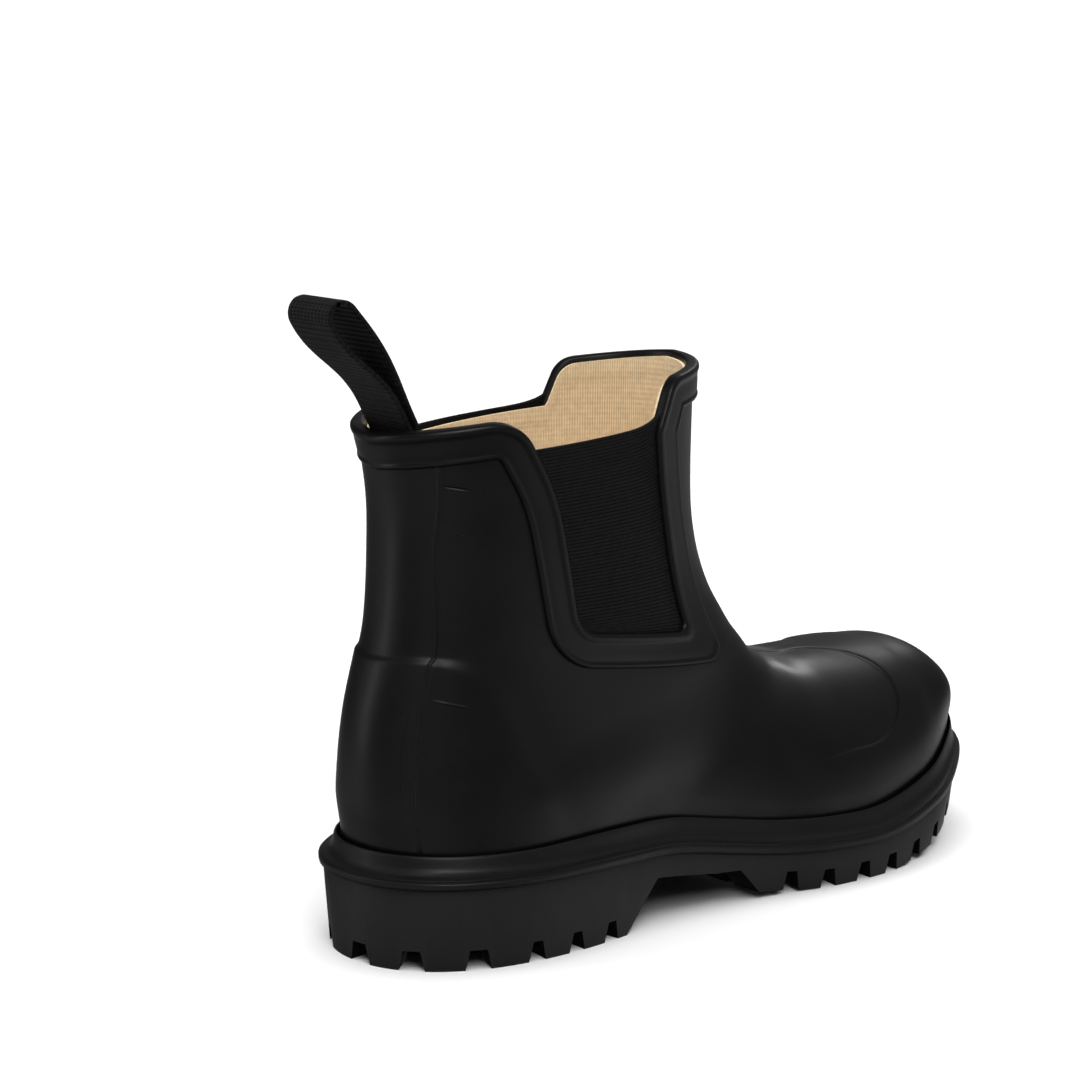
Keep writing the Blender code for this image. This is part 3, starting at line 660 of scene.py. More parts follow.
def on_shaft(pattern, offset):
    """Places on the unrolled shaft (distance round it, height), set off from its outer form."""
    distance, height = np.moveaxis(np.asarray(pattern, float), -1, 0)
    distance = distance - np.where(distance < 0, table(INNER_FORWARD, 1, -distance), 0)
    angle = np.sign(distance) * np.interp(np.abs(distance), GIRTH, GIRTH_ANGLES)
    past = np.clip(np.abs(distance) - GIRTH[-1], 0, None)
    angle = angle + np.sign(distance) * past / GIRTH[-1]
    origins = np.stack([np.full_like(height, SHAFT_AXIS), np.zeros_like(height), height], -1)
    points = cast(origins, np.stack([-np.cos(angle), -np.sin(angle), np.zeros_like(angle)], -1))
    return points + np.asarray(offset, float)[..., None] * outward(points)


def unrolled(points):
    """Distance round the shaft, the same on both sides, of points on the outer form."""
    x, y = points[..., 0], points[..., 1]
    distance = np.interp(np.arctan2(np.abs(y), SHAFT_AXIS - x), GIRTH_ANGLES, GIRTH)
    pattern = distance
    for _ in range(SETTLING_ROUNDS):
        pattern = distance - table(INNER_FORWARD, 1, pattern)
    return np.where(y > 0, pattern, distance)


def collar_line(width=0.0):
    """Line on the unrolled shaft where the upper ends, back centre to front centre, moved down by a width."""
    rows = np.array([*COLLAR, (GIRTH[-1], COLLAR_FRONT, 0)], float)
    normals = right_hand(rows[:, :2], at_points=False)
    before = np.concatenate([normals[:1] * (-1, 1), normals])
    after = np.concatenate([normals, normals[-1:] * (-1, 1)])
    corners = rows[:, :2] + width * (before + after) / (1 + (before * after).sum(1, keepdims=True))
    turn = np.sign(before[:, 0] * after[:, 1] - before[:, 1] * after[:, 0])
    radii = rows[:, 2] + width * turn * np.where(np.arange(len(rows)) == TIGHT_CORNER, TIGHT_SHARE, 1)
    plain = rounded(rows)
    moved = rounded(np.column_stack([corners, np.clip(radii, SMALLEST_CORNER, None)]))
    steps = np.ceil(np.linalg.norm(np.diff(plain, axis=0), axis=1) / COLLAR_STEP).astype(int)
    made = [moved[:1]]
    for start, end, count in zip(moved[:-1], moved[1:], np.clip(steps, 1, None)):
        made.append(start + (end - start) * np.linspace(0, 1, count + 1)[1:, None])
    return np.concatenate(made)


def inside(outline, points):
    """True for the points that lie within a closed outline in its plane."""
    x, z = points[..., 0], points[..., 1]
    found = np.zeros(x.shape, bool)
    for (x0, z0), (x1, z1) in zip(outline, np.roll(outline, -1, axis=0)):
        if z0 != z1:
            crossed = ((z0 > z) != (z1 > z)) & (x < (x1 - x0) * (z - z0) / (z1 - z0) + x0)
            found ^= crossed
    return found


def edge_rays():
    """Level rays that meet the boot's edge from the heel's back, along the outer side, to the toe and back."""
    heel = np.linspace(math.pi, 1.5 * math.pi, HEEL_STEPS, endpoint=False)
    toe = np.linspace(-math.pi / 2, 0, TOE_STEPS + 1)[1:]
    side = np.linspace(HEEL_CENTRE, TOE_CENTRE, SIDE_STEPS)
    angles = np.concatenate([heel, np.full(SIDE_STEPS, -math.pi / 2), toe])
    places = np.concatenate([np.full(HEEL_STEPS, HEEL_CENTRE), side, np.full(TOE_STEPS, TOE_CENTRE)])
    angles = np.concatenate([angles, -angles[-2:0:-1]])
    places = np.concatenate([places, places[-2:0:-1]])
    return places, np.stack([np.cos(angles), np.sin(angles), np.zeros_like(angles)], -1)


def edge(height, offset):
    """Points round the boot's edge, at a height and set off by a distance that depend on the place."""
    places, directions = edge_rays()
    points = np.stack([places, np.zeros_like(places), height(places)], -1)
    starts = points.copy()
    for _ in range(SETTLING_ROUNDS):
        points = cast(starts, directions)
        starts[:, 2] = height(points[:, 0])
    level = outward(points)[:, :2]
    out = np.broadcast_to(offset(points[:, 0]) if callable(offset) else offset, len(points))
    points[:, :2] += out[:, None] * level / np.linalg.norm(level, axis=1, keepdims=True)
    points[:, 2] = height(points[:, 0])
    return points


def between_sole_lines(share, rise=0.0):
    """Height between the outsole's top (0) and the rand's top (1), as a function of the place."""
    def height(x):
        low, high = table(SOLE, OUTSOLE_TOP, x), table(SOLE, RAND_TOP, x)
        return low + (high - low) * share + rise
    return height


def past_upper(extra, share=1.0):
    """Distance of the sole's edge past the upper, as a function of the place."""
    return lambda x: GAP + (table(SOLE, MARGIN, x) + extra - GAP) * share


def quads(numbers, wrap):
    """Faces over a grid of point numbers, the last column joined to the first where it wraps."""
    if wrap:
        numbers = np.concatenate([numbers, numbers[:, :1]], axis=1)
    corners = [numbers[:-1, :-1], numbers[:-1, 1:], numbers[1:, 1:], numbers[1:, :-1]]
    return np.stack(corners, -1).reshape(-1, 4)


def piece(name, points, faces, finishes, sharp=40):
    """Object from points in millimetres and faces that wrap a closed body."""
    mesh = bpy.data.meshes.new(name)
    placed = (np.asarray(points, float).reshape(-1, 3) - BOOT_MIDDLE) * MM
    mesh.from_pydata(placed.tolist(), [], faces)
    work = bmesh.new()
    work.from_mesh(mesh)
    bmesh.ops.remove_doubles(work, verts=work.verts, dist=1e-6)
    bmesh.ops.recalc_face_normals(work, faces=work.faces)
    work.to_mesh(mesh)
    work.free()
    smooth(mesh, sharp)
    for finish in finishes:
        mesh.materials.append(finish)
    made = bpy.data.objects.new(name, mesh)
    bpy.context.scene.collection.objects.link(made)
    return made


def smooth(mesh, sharp):
    mesh.shade_smooth()
    mesh.set_sharp_from_angle(angle=math.radians(sharp))


def baked(made, sharp):
    """Turns an object with modifiers into a plain mesh."""
    graph = bpy.context.evaluated_depsgraph_get()
    mesh = bpy.data.meshes.new_from_object(made.evaluated_get(graph), depsgraph=graph)
    made.modifiers.clear()
    made.data = mesh
    smooth(mesh, sharp)
    return made


def on_boot(made, slot, *nodes):
    """Hands a finished piece to the frame: it moves with the boot and stands for these solids."""
    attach(made, "root")
    if nodes:
        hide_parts(*nodes)
    return made


def flow(made, along, across):
    """UV map from two values at each point, in metres."""
    mesh = made.data
    corner = np.empty(len(mesh.loops), np.int64)
    mesh.loops.foreach_get("vertex_index", corner)
    layer = mesh.uv_layers.new(name="flow")
    values = np.stack([along[corner], across[corner]], -1).astype(np.float32)
    layer.data.foreach_set("uv", values.ravel())


def slab(name, top, bottom, finish):
    """Closed body between two edges that run round the sole, each filled from side to side."""
    count = len(top)
    ring = np.arange(count)
    faces = quads(np.stack([ring, ring + count]), True).tolist()
    for i in range(count // 2):
        across = list(dict.fromkeys((i, i + 1, (count - i - 1) % count, (count - i) % count)))
        faces.append(across)
        faces.append([number + count for number in reversed(across)])
    return piece(name, np.concatenate([top, bottom]), faces, [finish] if finish else [])


def ring_body(name, rings, finish, sharp=40):
    """Closed body through rings of points, the last joined to the first."""
    rings = np.asarray(rings)
    numbers = np.arange(rings.shape[0] * rings.shape[1]).reshape(rings.shape[:2])
    closed = np.concatenate([numbers, numbers[:1]])
    return piece(name, rings, quads(closed, True).tolist(), [finish] if finish else [], sharp)


def cutter(name, bodies):
    """Helper that is taken out of other bodies: flat outlines joined in pairs."""
    points, faces = [], []
    for first, last in bodies:
        count, base = len(first), sum(len(part) for part in points)
        ring = np.arange(count) + base
        faces += quads(np.stack([ring, ring + count]), True).tolist()
        faces += [ring[::-1].tolist(), (ring + count).tolist()]
        points += [first, last]
    return piece(name, np.concatenate(points), faces, [])


def cut(target, helper):
    made = target.modifiers.new(helper.name, "BOOLEAN")
    made.operation = "DIFFERENCE"
    made.solver = "EXACT"
    made.material_mode = "TRANSFER"
    made.object = helper


def prism_points(outline, axis, low, high):
    outline = np.asarray(outline, float)
    return [np.insert(outline, axis, value, axis=1) for value in (low, high)]


# Finishes


def node(tree, kind, fed=None, **settings):
    """New node with these settings; each input that is fed takes a constant or the output of another node."""
    made = tree.nodes.new(kind)
    for name, value in settings.items():
        setattr(made, name, value)
    for label, value in (fed or {}).items():
        if isinstance(value, bpy.types.NodeSocket):
            tree.links.new(value, made.inputs[label])
        else:
            made.inputs[label].default_value = value
    return made


def maths(tree, operation, *values):
    return node(tree, "ShaderNodeMath", dict(enumerate(values)), operation=operation).outputs[0]


def effect(name, inputs, outputs):
    """Empty shader group with named numbers going in and out, and the sockets that they come in by."""
    tree = bpy.data.node_groups.new(name, "ShaderNodeTree")
    for label, value in inputs.items():
        tree.interface.new_socket(name=label, in_out="INPUT", socket_type="NodeSocketFloat").default_value = value
    for label in outputs:
        tree.interface.new_socket(name=label, in_out="OUTPUT", socket_type="NodeSocketFloat")
    return tree, tree.nodes.new("NodeGroupInput").outputs


def skin_grain():
    """Fine grain and broad patches of a moulded rubber skin."""
    tree, given = effect("skin grain", {"Grain Size": 900.0, "Patch Size": 22.0}, ("Height", "Shade"))
    place = node(tree, "ShaderNodeTexCoord").outputs["Object"]
    grain = node(tree, "ShaderNodeTexNoise", {"Vector": place, "Scale": given["Grain Size"], "Detail": 3.0})
    patches = {"Vector": place, "Scale": given["Patch Size"], "Detail": 4.0, "Roughness": 0.62}
    patches = node(tree, "ShaderNodeTexNoise", patches)
    node(tree, "NodeGroupOutput", {"Height": grain.outputs["Fac"], "Shade": patches.outputs["Fac"]})
    return tree


def cloth_weave():
    """Threads over and under along a piece's own UV map."""
    counts = {"Threads Along": 900.0, "Threads Across": 900.0, "Across Share": 0.4, "Painted Rib Light": 0.0}
    tree, given = effect("cloth weave", counts, ("Height", "Shade"))
    place = node(tree, "ShaderNodeTexCoord").outputs
    parts = node(tree, "ShaderNodeSeparateXYZ", {0: place["UV"]}).outputs
    waves = []
    for axis, label in (("X", "Threads Along"), ("Y", "Threads Across")):
        turns = maths(tree, "MULTIPLY", parts[axis], given[label])
        waves.append(maths(tree, "SINE", maths(tree, "MULTIPLY", turns, math.pi)))
    over = maths(tree, "MULTIPLY_ADD", waves[1], given["Across Share"], waves[0])
    slubs = {"Vector": place["Object"], "Scale": 420.0, "Detail": 3.0}
    slubs = node(tree, "ShaderNodeTexNoise", slubs).outputs["Fac"]
    # Painted light and shade: where the rib share is set, marked ribs are painted lighter and the cloth between them
    # darker.
    rib = node(tree, "ShaderNodeAttribute", attribute_name="rib").outputs["Fac"]
    shade = maths(tree, "MULTIPLY_ADD", maths(tree, "SUBTRACT", rib, 0.5), given["Painted Rib Light"], slubs)
    node(tree, "NodeGroupOutput", {"Height": maths(tree, "ADD", over, slubs), "Shade": shade})
    return tree


def seam_lines():
    """Fine grooves and ridges along the seams that are marked on a skin."""
    tree, given = effect("seam lines", {"Half Width": 0.0006}, ("Height",))
    height = 0.0
    for name in ("strip_seam", "strip_line", "cap_seam", "fold_line"):
        held = node(tree, "ShaderNodeAttribute", attribute_name=name).outputs["Vector"]
        parts = node(tree, "ShaderNodeSeparateXYZ", {0: held}).outputs
        ends = {"From Max": given["Half Width"], "To Min": 1.0, "To Max": 0.0}
        ends["Value"] = maths(tree, "ABSOLUTE", parts["X"])
        line = node(tree, "ShaderNodeMapRange", ends, interpolation_type="SMOOTHSTEP").outputs["Result"]
        height = maths(tree, "MULTIPLY_ADD", line, parts["Y"], height)
    node(tree, "NodeGroupOutput", {"Height": height})
    return tree


def seamed(finish, deep, shine):
    """Lays the marked seams under a finish's own grain and polishes its marked places."""
    tree = finish.node_tree
    grain = next(made for made in tree.nodes if made.type == "BUMP")
    seams = node(tree, "ShaderNodeGroup", node_tree=seam_lines())
    bump = node(tree, "ShaderNodeBump", {"Height": seams.outputs["Height"], "Distance": deep})
    tree.links.new(bump.outputs["Normal"], grain.inputs["Normal"])
    marked = node(tree, "ShaderNodeAttribute", attribute_name="shine").outputs["Fac"]
    coat = node(tree, "ShaderNodeMapRange", {"Value": marked, "To Min": shine[0], "To Max": shine[1]})
    tree.links.new(coat.outputs["Result"], tree.nodes["Principled BSDF"].inputs["Coat Weight"])


def finish_of(name, group, values, bump, tints, colour, roughness, gloss):
    """Principled finish: a shared effect varies its colour and roughness and raises its surface."""
    made = bpy.data.materials.new(name)
    made.use_nodes = True
    tree = made.node_tree
    shader = tree.nodes["Principled BSDF"]
    for label, value in gloss.items():
        shader.inputs[label].default_value = value
    source = node(tree, "ShaderNodeGroup", values, node_tree=group).outputs
    dark, light = ((*(part * share for part in colour), 1.0) for share in tints)
    tint = node(tree, "ShaderNodeMix", {0: source["Shade"], MIX_A: dark, MIX_B: light}, data_type="RGBA")
    rough = {"Value": source["Shade"], "To Min": roughness[0], "To Max": roughness[1]}
    rough["From Min"], rough["From Max"] = SHADE_SPAN
    rough = node(tree, "ShaderNodeMapRange", rough)
    raised = {"Height": source["Height"], "Strength": bump[0], "Distance": bump[1]}
    raised = node(tree, "ShaderNodeBump", raised)
    tree.links.new(tint.outputs[MIX_RESULT], shader.inputs["Base Color"])
    tree.links.new(rough.outputs["Result"], shader.inputs["Roughness"])
    tree.links.new(raised.outputs["Normal"], shader.inputs["Normal"])
    return made


FINISHES = {}


def make_finishes(colours):
    grain, weave = skin_grain(), cloth_weave()
    satin = {"Specular IOR Level": 0.4, "Coat Weight": 0.05, "Coat Roughness": 0.25}
    moulded = {"Specular IOR Level": 0.4, "Coat Roughness": 0.22}
    glossy = {"Specular IOR Level": 0.4, "Coat Weight": 0.05, "Coat Roughness": 0.2}
    matt, shade_dimmed = {"Specular IOR Level": 0.4}, {"Specular IOR Level": 0.12}
    elastic = {"Specular IOR Level": 0.25, "Sheen Weight": 0.02, "Sheen Roughness": 0.5}
    webbing = {"Specular IOR Level": 0.28, "Sheen Weight": 0.03, "Sheen Roughness": 0.5}
    cotton = {"Specular IOR Level": 0.2, "Sheen Weight": 0.15, "Sheen Roughness": 0.6}
    skin = {"Grain Size": 1400.0, "Patch Size": 24.0}
    rows = (
        # name, shared effect and its values, strength and height of the bump,
        # dark and light share of the colour, colour, least and most roughness, other settings
        ("rubber", "satin black rubber", grain, skin,
         (0.12, 0.00012), (0.85, 1.2), colours.rubber, (0.36, 0.47), satin),
        ("moulded", "moulded black rubber", grain, skin,
         (0.12, 0.00012), (0.3, 1.8), colours.rubber, (0.34, 0.47), moulded),
        ("rand", "glossy rand rubber", grain, {"Grain Size": 900.0, "Patch Size": 40.0},
         (0.16, 0.00015), (1.2, 2.6), colours.rubber, (0.40, 0.54), glossy),
        ("sole", "matt sole rubber", grain, {"Grain Size": 1600.0, "Patch Size": 30.0},
         (0.2, 0.00015), (0.85, 1.2), colours.sole, (0.5, 0.62), matt),
        # Painted shade: the hollows of the tread take a darker, less reflective finish where shade falls.
        ("recess", "dusty recess rubber", grain, {"Grain Size": 1600.0, "Patch Size": 60.0},
         (0.2, 0.00015), (0.7, 1.3), colours.recess, (0.85, 0.98), shade_dimmed),
        # The elastic and the webbing paint their ribs lighter and the cloth between them darker: painted light and
        # shade.
        ("elastic", "ribbed elastic", weave, {"Threads Along": 1500.0, "Threads Across": 740.0, "Painted Rib Light": 0.8},
         (0.5, 0.00025), (0.25, 2.2), colours.elastic, (0.95, 0.7), elastic),
        ("webbing", "twill webbing", weave, {"Threads Along": 900.0, "Threads Across": 1100.0, "Painted Rib Light": 0.8},
         (0.6, 0.0003), (0.3, 2.0), colours.webbing, (0.9, 0.7), webbing),
        ("cotton", "tan cotton", weave, {"Threads Along": 1900.0, "Threads Across": 1100.0},
         (0.35, 0.0002), (0.8, 1.2), colours.cotton, (0.85, 0.98), cotton),
    )
    for key, *row in rows:
        FINISHES[key] = finish_of(*row)
    seamed(FINISHES["moulded"], SEAM_DEEP, COAT_SPAN)


# Skins


def lobe_distance(points):
    """Distance outside the tongue of the vamp on each side, and how far down the tongue's plane each point lies."""
    along = points[..., 0] - (LOBE_TIP - LOBE_HALF)
    aside, above = np.abs(points[..., 1]), points[..., 2] - LOBE_AXIS
    across = aside * math.cos(LOBE_TURN) - above * math.sin(LOBE_TURN) - LOBE_LOW
    return np.hypot(np.clip(along, 0, None), across) - LOBE_HALF, across


def cap_shares(points):
    """How far the toe cap counts at each place, above and below the tongues' middle."""
    x = points[..., 0]
    return (soft_step(x - sum(fade) / 2, fade[1] - fade[0]) for fade in (CAP_TOP_FADE, CAP_LOW_FADE))


def cap_relief(points, height):
    """The toe cap's thickness: it ends in a soft step round the tongues and fades backwards."""
    away, low = lobe_distance(points)
    top, foot = cap_shares(points)
    thick = height * soft_step(away, CAP_SOFT) + CAP_SWELL * soft_step(away, CAP_SWELL_SOFT)
    return thick * np.where(low < 0, top, foot)


def counter_relief(points, height):
    """The heel counter's thickness, ending in a soft step along its upper edge."""
    x, y, z = np.moveaxis(points, -1, 0)
    angle = np.degrees(np.arctan2(np.abs(y), COUNTER_AXIS - x))
    below = table(COUNTER, 1, angle) - z
    soft = COUNTER_SOFT * (1 + np.clip(angle / COUNTER_CRISP, 0, 2) ** 4)
    return height * soft_step(below, soft) + SWELL * soft_step(below, SWELL_SOFT)


def strip_away(points):
    """Distance inside the edge of the back strip, and how far the strip counts at each place."""
    x, y, z = np.moveaxis(points, -1, 0)
    return table(STRIP, 1, z) - np.abs(y), soft_step(STRIP_END - x, STRIP_FADE)


def strip_relief(points, height):
    """The back strip's thickness."""
    within, share = strip_away(points)
    return (height * soft_step(within, STRIP_SOFT) + SWELL * soft_step(within, SWELL_SOFT)) * share


def flex_relief(points):
    """Soft waves where the boot bends behind the toe cap."""
    x, y, z = np.moveaxis(points, -1, 0)
    share = np.exp(-(((y - FLEX_MIDDLE) / FLEX_HALF) ** 4)) * soft_step(z - FLEX_FOOT, FLEX_RISE)
    waves = (height * np.exp(-(((x - place - FLEX_LEAN * y) / half) ** 2)) for place, half, height in FLEX)
    return sum(waves) * share


def foot_share(points):
    """Falls to nothing where the skin goes behind the rand."""
    above = points[..., 2] - table(SOLE, RAND_TOP, points[..., 0])
    return soft_step(above - FOOT_FADE / 2, FOOT_FADE)


def fold_line(points):
    """Distance from the nearest fine fold, and how much it stands out there."""
    away, share = np.full(points.shape[:-1], FOLD_REACH), np.zeros(points.shape[:-1])
    for *ends, height in FOLDS:
        start, end = np.array(ends[:3]), np.array(ends[3:])
        run = end - start
        side = np.cross(np.cross(run, (0, 0, 1)), run)
        along = ((points - start) @ run) / (run @ run)
        here = np.linalg.norm(points - (start + end) / 2, axis=-1) < np.linalg.norm(run) / 2 + FOLD_REACH
        away = np.where(here, (points - start) @ side / np.linalg.norm(side), away)
        share = np.where(here, height * np.clip(4 * along * (1 - along), 0, 1), share)
    return away, share


def mark_seams(skin, points):
    """Stores on the skin how far each point is from its seams, how deep they are there, and its polish."""
    x, y, z = np.moveaxis(points, -1, 0)
    within, share = strip_away(points)
    lobe, low = lobe_distance(points)
    top, foot = cap_shares(points)
    start, end = STRIP_LINE_SPAN
    span = np.clip(2 - 4 * np.abs(z - (start + end) / 2) / (end - start), 0, 1)
    lines = {
        "strip_seam": (within, -STRIP_SEAM_DEEP * share),
        "strip_line": (within - STRIP_LINE, -STRIP_LINE_DEEP * share * span),
        "cap_seam": (lobe, -np.where(low < 0, top, foot) * (x > FOOT_TIP / 2)),
        "fold_line": fold_line(points),
    }
    for name, (away, depth) in lines.items():
        values = np.stack([away * MM, depth, np.zeros_like(depth)], -1).astype(np.float32)
        skin.data.attributes.new(name, "FLOAT_VECTOR", "POINT").data.foreach_set("vector", values.ravel())
    place, half_length, middle, half_width = SHINE
    shine = np.exp(-(((x - place) / half_length) ** 2) - ((y - middle) / half_width) ** 2)
    shine = (shine * soft_step(z - FLEX_FOOT, FLEX_RISE)).astype(np.float32)
    skin.data.attributes.new("shine", "FLOAT", "POINT").data.foreach_set("value", shine)


def read_points(rows, name):
    """Points of a mesh's rows, in the boot's own millimetres."""
    values = np.empty(len(rows) * 3, np.float32)
    rows.foreach_get(name, values)
    return values.reshape(-1, 3).astype(float) / MM + BOOT_MIDDLE


def open_steps(faces, tip, count):
    """Steps between points that only one face uses: the rims of a skin that is closed at its tip."""
    steps = np.concatenate([faces[:, (i, (i + 1) % 4)] for i in range(4)])
    tip_steps = np.stack([tip, np.roll(tip, -1)], -1)
    steps = np.concatenate([steps, tip_steps, tip_steps[:, ::-1]])
    return steps[~np.isin(steps @ (count, 1), steps @ (1, count))]


def make_upper(sizes):
    form = cast(*ring_rays())
    normals = outward(form)
    relief = cap_relief(form, sizes.cap / MM) + counter_relief(form, sizes.counter / MM)
    relief = (relief + strip_relief(form, sizes.strip / MM) + flex_relief(form)) * foot_share(form)
    outer = form + relief[..., None] * normals
    inner = form - normals * sizes.wall / MM
    line = collar_line()
    line = line + COLLAR_COVER * right_hand(line)
    over = [(BEYOND, line[-1, 1]), (BEYOND, BEYOND), (-BEYOND, BEYOND)]
    above = np.concatenate([[(-BEYOND, line[0, 1])], line, over])
    taken = inside(above, np.stack([unrolled(form), form[..., 2]], -1))
    taken |= form[..., 2] < table(SOLE, RAND_TOP, form[..., 0]) - SKIN_FOOT
    count = taken.size
    numbers = np.arange(count).reshape(taken.shape)
    faces = quads(numbers, True)
    faces = faces[~taken.ravel()[faces].any(axis=1)]
    tip = numbers[-1]
    start, end = open_steps(faces, tip, count).T
    walls = np.stack([end, start, start + count, end + count], -1)
    behind = faces[:, ::-1] + count
    used = np.unique(np.concatenate([faces.ravel(), tip, behind.ravel(), tip + count]))
    place = np.full(2 * count, -1)
    place[used] = np.arange(len(used))
    every = [*place[faces].tolist(), place[tip].tolist(), *place[walls].tolist()]
    every += [*place[behind].tolist(), place[tip[::-1] + count].tolist()]
    points = np.concatenate([outer.reshape(-1, 3), inner.reshape(-1, 3)])[used]
    upper = piece("upper_skin", points, every, [FINISHES["moulded"], FINISHES["cotton"]])
    mark_seams(upper, read_points(upper.data.vertices, "co"))
    inward = field(read_points(upper.data.polygons, "center")) < -sizes.wall / MM * INSIDE_SHARE
    upper.data.polygons.foreach_set("material_index", inward.astype(np.int32))
    return on_boot(upper, "black_rubber", "upper", "heel_counter", "toe_cap", "back_strip")


def make_binding():
    rings = []
    for width, height in BINDING:
        half = collar_line(width)
        rings.append(on_shaft(np.concatenate([half, half[-2:0:-1] * (-1, 1)]), height))
    return on_boot(ring_body("binding_band", rings, FINISHES["rubber"], 60), "black_rubber", "collar_binding")


def lining_top(distance):
    """Height of the lining's upper edge: it follows the collar and runs straight across each gore."""
    line = collar_line()
    lowest = int(np.argmin(line[:, 1]))
    back, front = line[:lowest], line[lowest:]
    back = back[: int(np.argmax((back[:, 1] < GORE_TOP_REAR) & (back[:, 0] > COLLAR[1][0])))]
    front = front[int(np.argmax(front[:, 1] > GORE_TOP_FRONT - GORE_SAG)) :]
    front = front[np.argsort(front[:, 0])]
    both = np.concatenate([back, front])
    behind_loop = LINING_BACK_DROP * np.exp(-((distance / LINING_BACK_HALF) ** 4))
    return np.interp(np.abs(distance), both[:, 0], both[:, 1]) - LINING_DROP - behind_loop


def make_lining(sizes):
    places = np.linspace(-GIRTH[-1], GIRTH[-1], LINING_COLUMNS, endpoint=False)
    top = lining_top(places)
    shares = np.concatenate([np.linspace(0, HEM_SHARE, HEM_ROWS), np.linspace(HEM_SHARE, 1, LINING_ROWS)[1:]])
    heights = top + (LINING_FOOT - top) * shares[:, None]
    grid = np.stack([np.broadcast_to(places, heights.shape), heights], -1)
    hem = soft_step(HEM - (top - heights), HEM_SOFT) * HEM_THICK
    back = np.full(heights.shape, -sizes.wall / MM - LINING_SET_BACK)
    points = np.stack([on_shaft(grid, back), on_shaft(grid, back - LINING_THICK - hem)])
    numbers = np.arange(heights.size).reshape(heights.shape)
    faces = [*quads(numbers, True).tolist(), *quads(numbers + heights.size, True)[:, ::-1].tolist()]
    for row in (0, -1):
        ring = numbers[row]
        faces += quads(np.stack([ring, ring + heights.size]), True).tolist()
    lining = piece("lining", points, faces, [FINISHES["cotton"]], 50)
    flow(lining, np.tile(grid[..., 0].ravel(), 2) * MM, np.tile(grid[..., 1].ravel(), 2) * MM)
    return on_boot(lining, "cotton_board")


def make_insole(sizes):
    inset = INSOLE_TUCK - sizes.wall / MM
    top, bottom = (edge(between_sole_lines(0, rise), inset) for rise in (GAP + INSOLE_THICK, GAP))
    insole = slab("insole_board", top, bottom, FINISHES["cotton"])
    spots = np.array([point.co for point in insole.data.vertices])
    flow(insole, spots[:, 0], spots[:, 1])
    return on_boot(insole, "cotton_board", "insole")


def make_rand():
    rings = []
    for out, share in RAND_SECTION:
        ring = edge(between_sole_lines(share, GAP), past_upper(LIP, out))
        along = length_along(ring)
        level = outward(ring)
        level[:, 2] = 0
        level = level / np.linalg.norm(level, axis=1, keepdims=True)
        raised = np.zeros(len(ring))
        for place, half, height, lift in RAND_FOLDS:
            near = np.exp(-(((share - height) / FOLD_HALF) ** 2))
            raised += lift * near * np.exp(-(((along - place) / half) ** 4))
        rings.append(ring + raised[:, None] * level)
    rings += [edge(between_sole_lines(share, GAP), FEATHER_GAP) for share in RAND_BACKING]
    return on_boot(ring_body("rand_band", rings, FINISHES["rand"], 60), "black_rubber", "rand")


def notch(line, distance, widths):
    """Trapezoid that opens downwards, let into the sole's edge at this distance along it."""
    along = length_along(line[:, :2])
    centre, after = (np.array([np.interp(at, along, column) for column in line.T]) for at in (distance, distance + 2))
    ahead = (after - centre) / np.linalg.norm(after - centre)
    middle = (HEEL_CENTRE if centre[0] < HEEL_CENTRE else min(centre[0], TOE_CENTRE), 0)
    inward = np.append(middle - centre[:2], 0)
    inward = inward - ahead * (inward @ ahead)
    inward = inward / np.linalg.norm(inward)
    narrow, wide = widths
    foot = wide + (wide - narrow) / NOTCH_HIGH * NOTCH_OVERRUN
    corners = [(-foot / 2, -NOTCH_OVERRUN), (foot / 2, -NOTCH_OVERRUN)]
    corners += [(narrow / 2, NOTCH_HIGH), (-narrow / 2, NOTCH_HIGH)]
    ends = []
    for depth in (-2 * NOTCH_OVERRUN, NOTCH_DEEP):
        ends.append(np.array([centre + side * ahead + depth * inward + (0, 0, level) for side, level in corners]))
    return ends


def groove(x):
    """Box across the middle of the tread, out to the channel."""
    outer, inner = table(FOOT, OUTER, x) - GROOVE_SHORT, table(FOOT, INNER, x) - GROOVE_SHORT
    floor = np.clip(table(SOLE, TREAD, x), 0, None)
    sides = [(x - GROOVE_WIDE / 2, -outer), (x + GROOVE_WIDE / 2, -outer)]
    sides += [(x + GROOVE_WIDE / 2, inner), (x - GROOVE_WIDE / 2, inner)]
    return prism_points(sides, 2, floor - CHANNEL_HIGH, floor + GROOVE_HIGH)


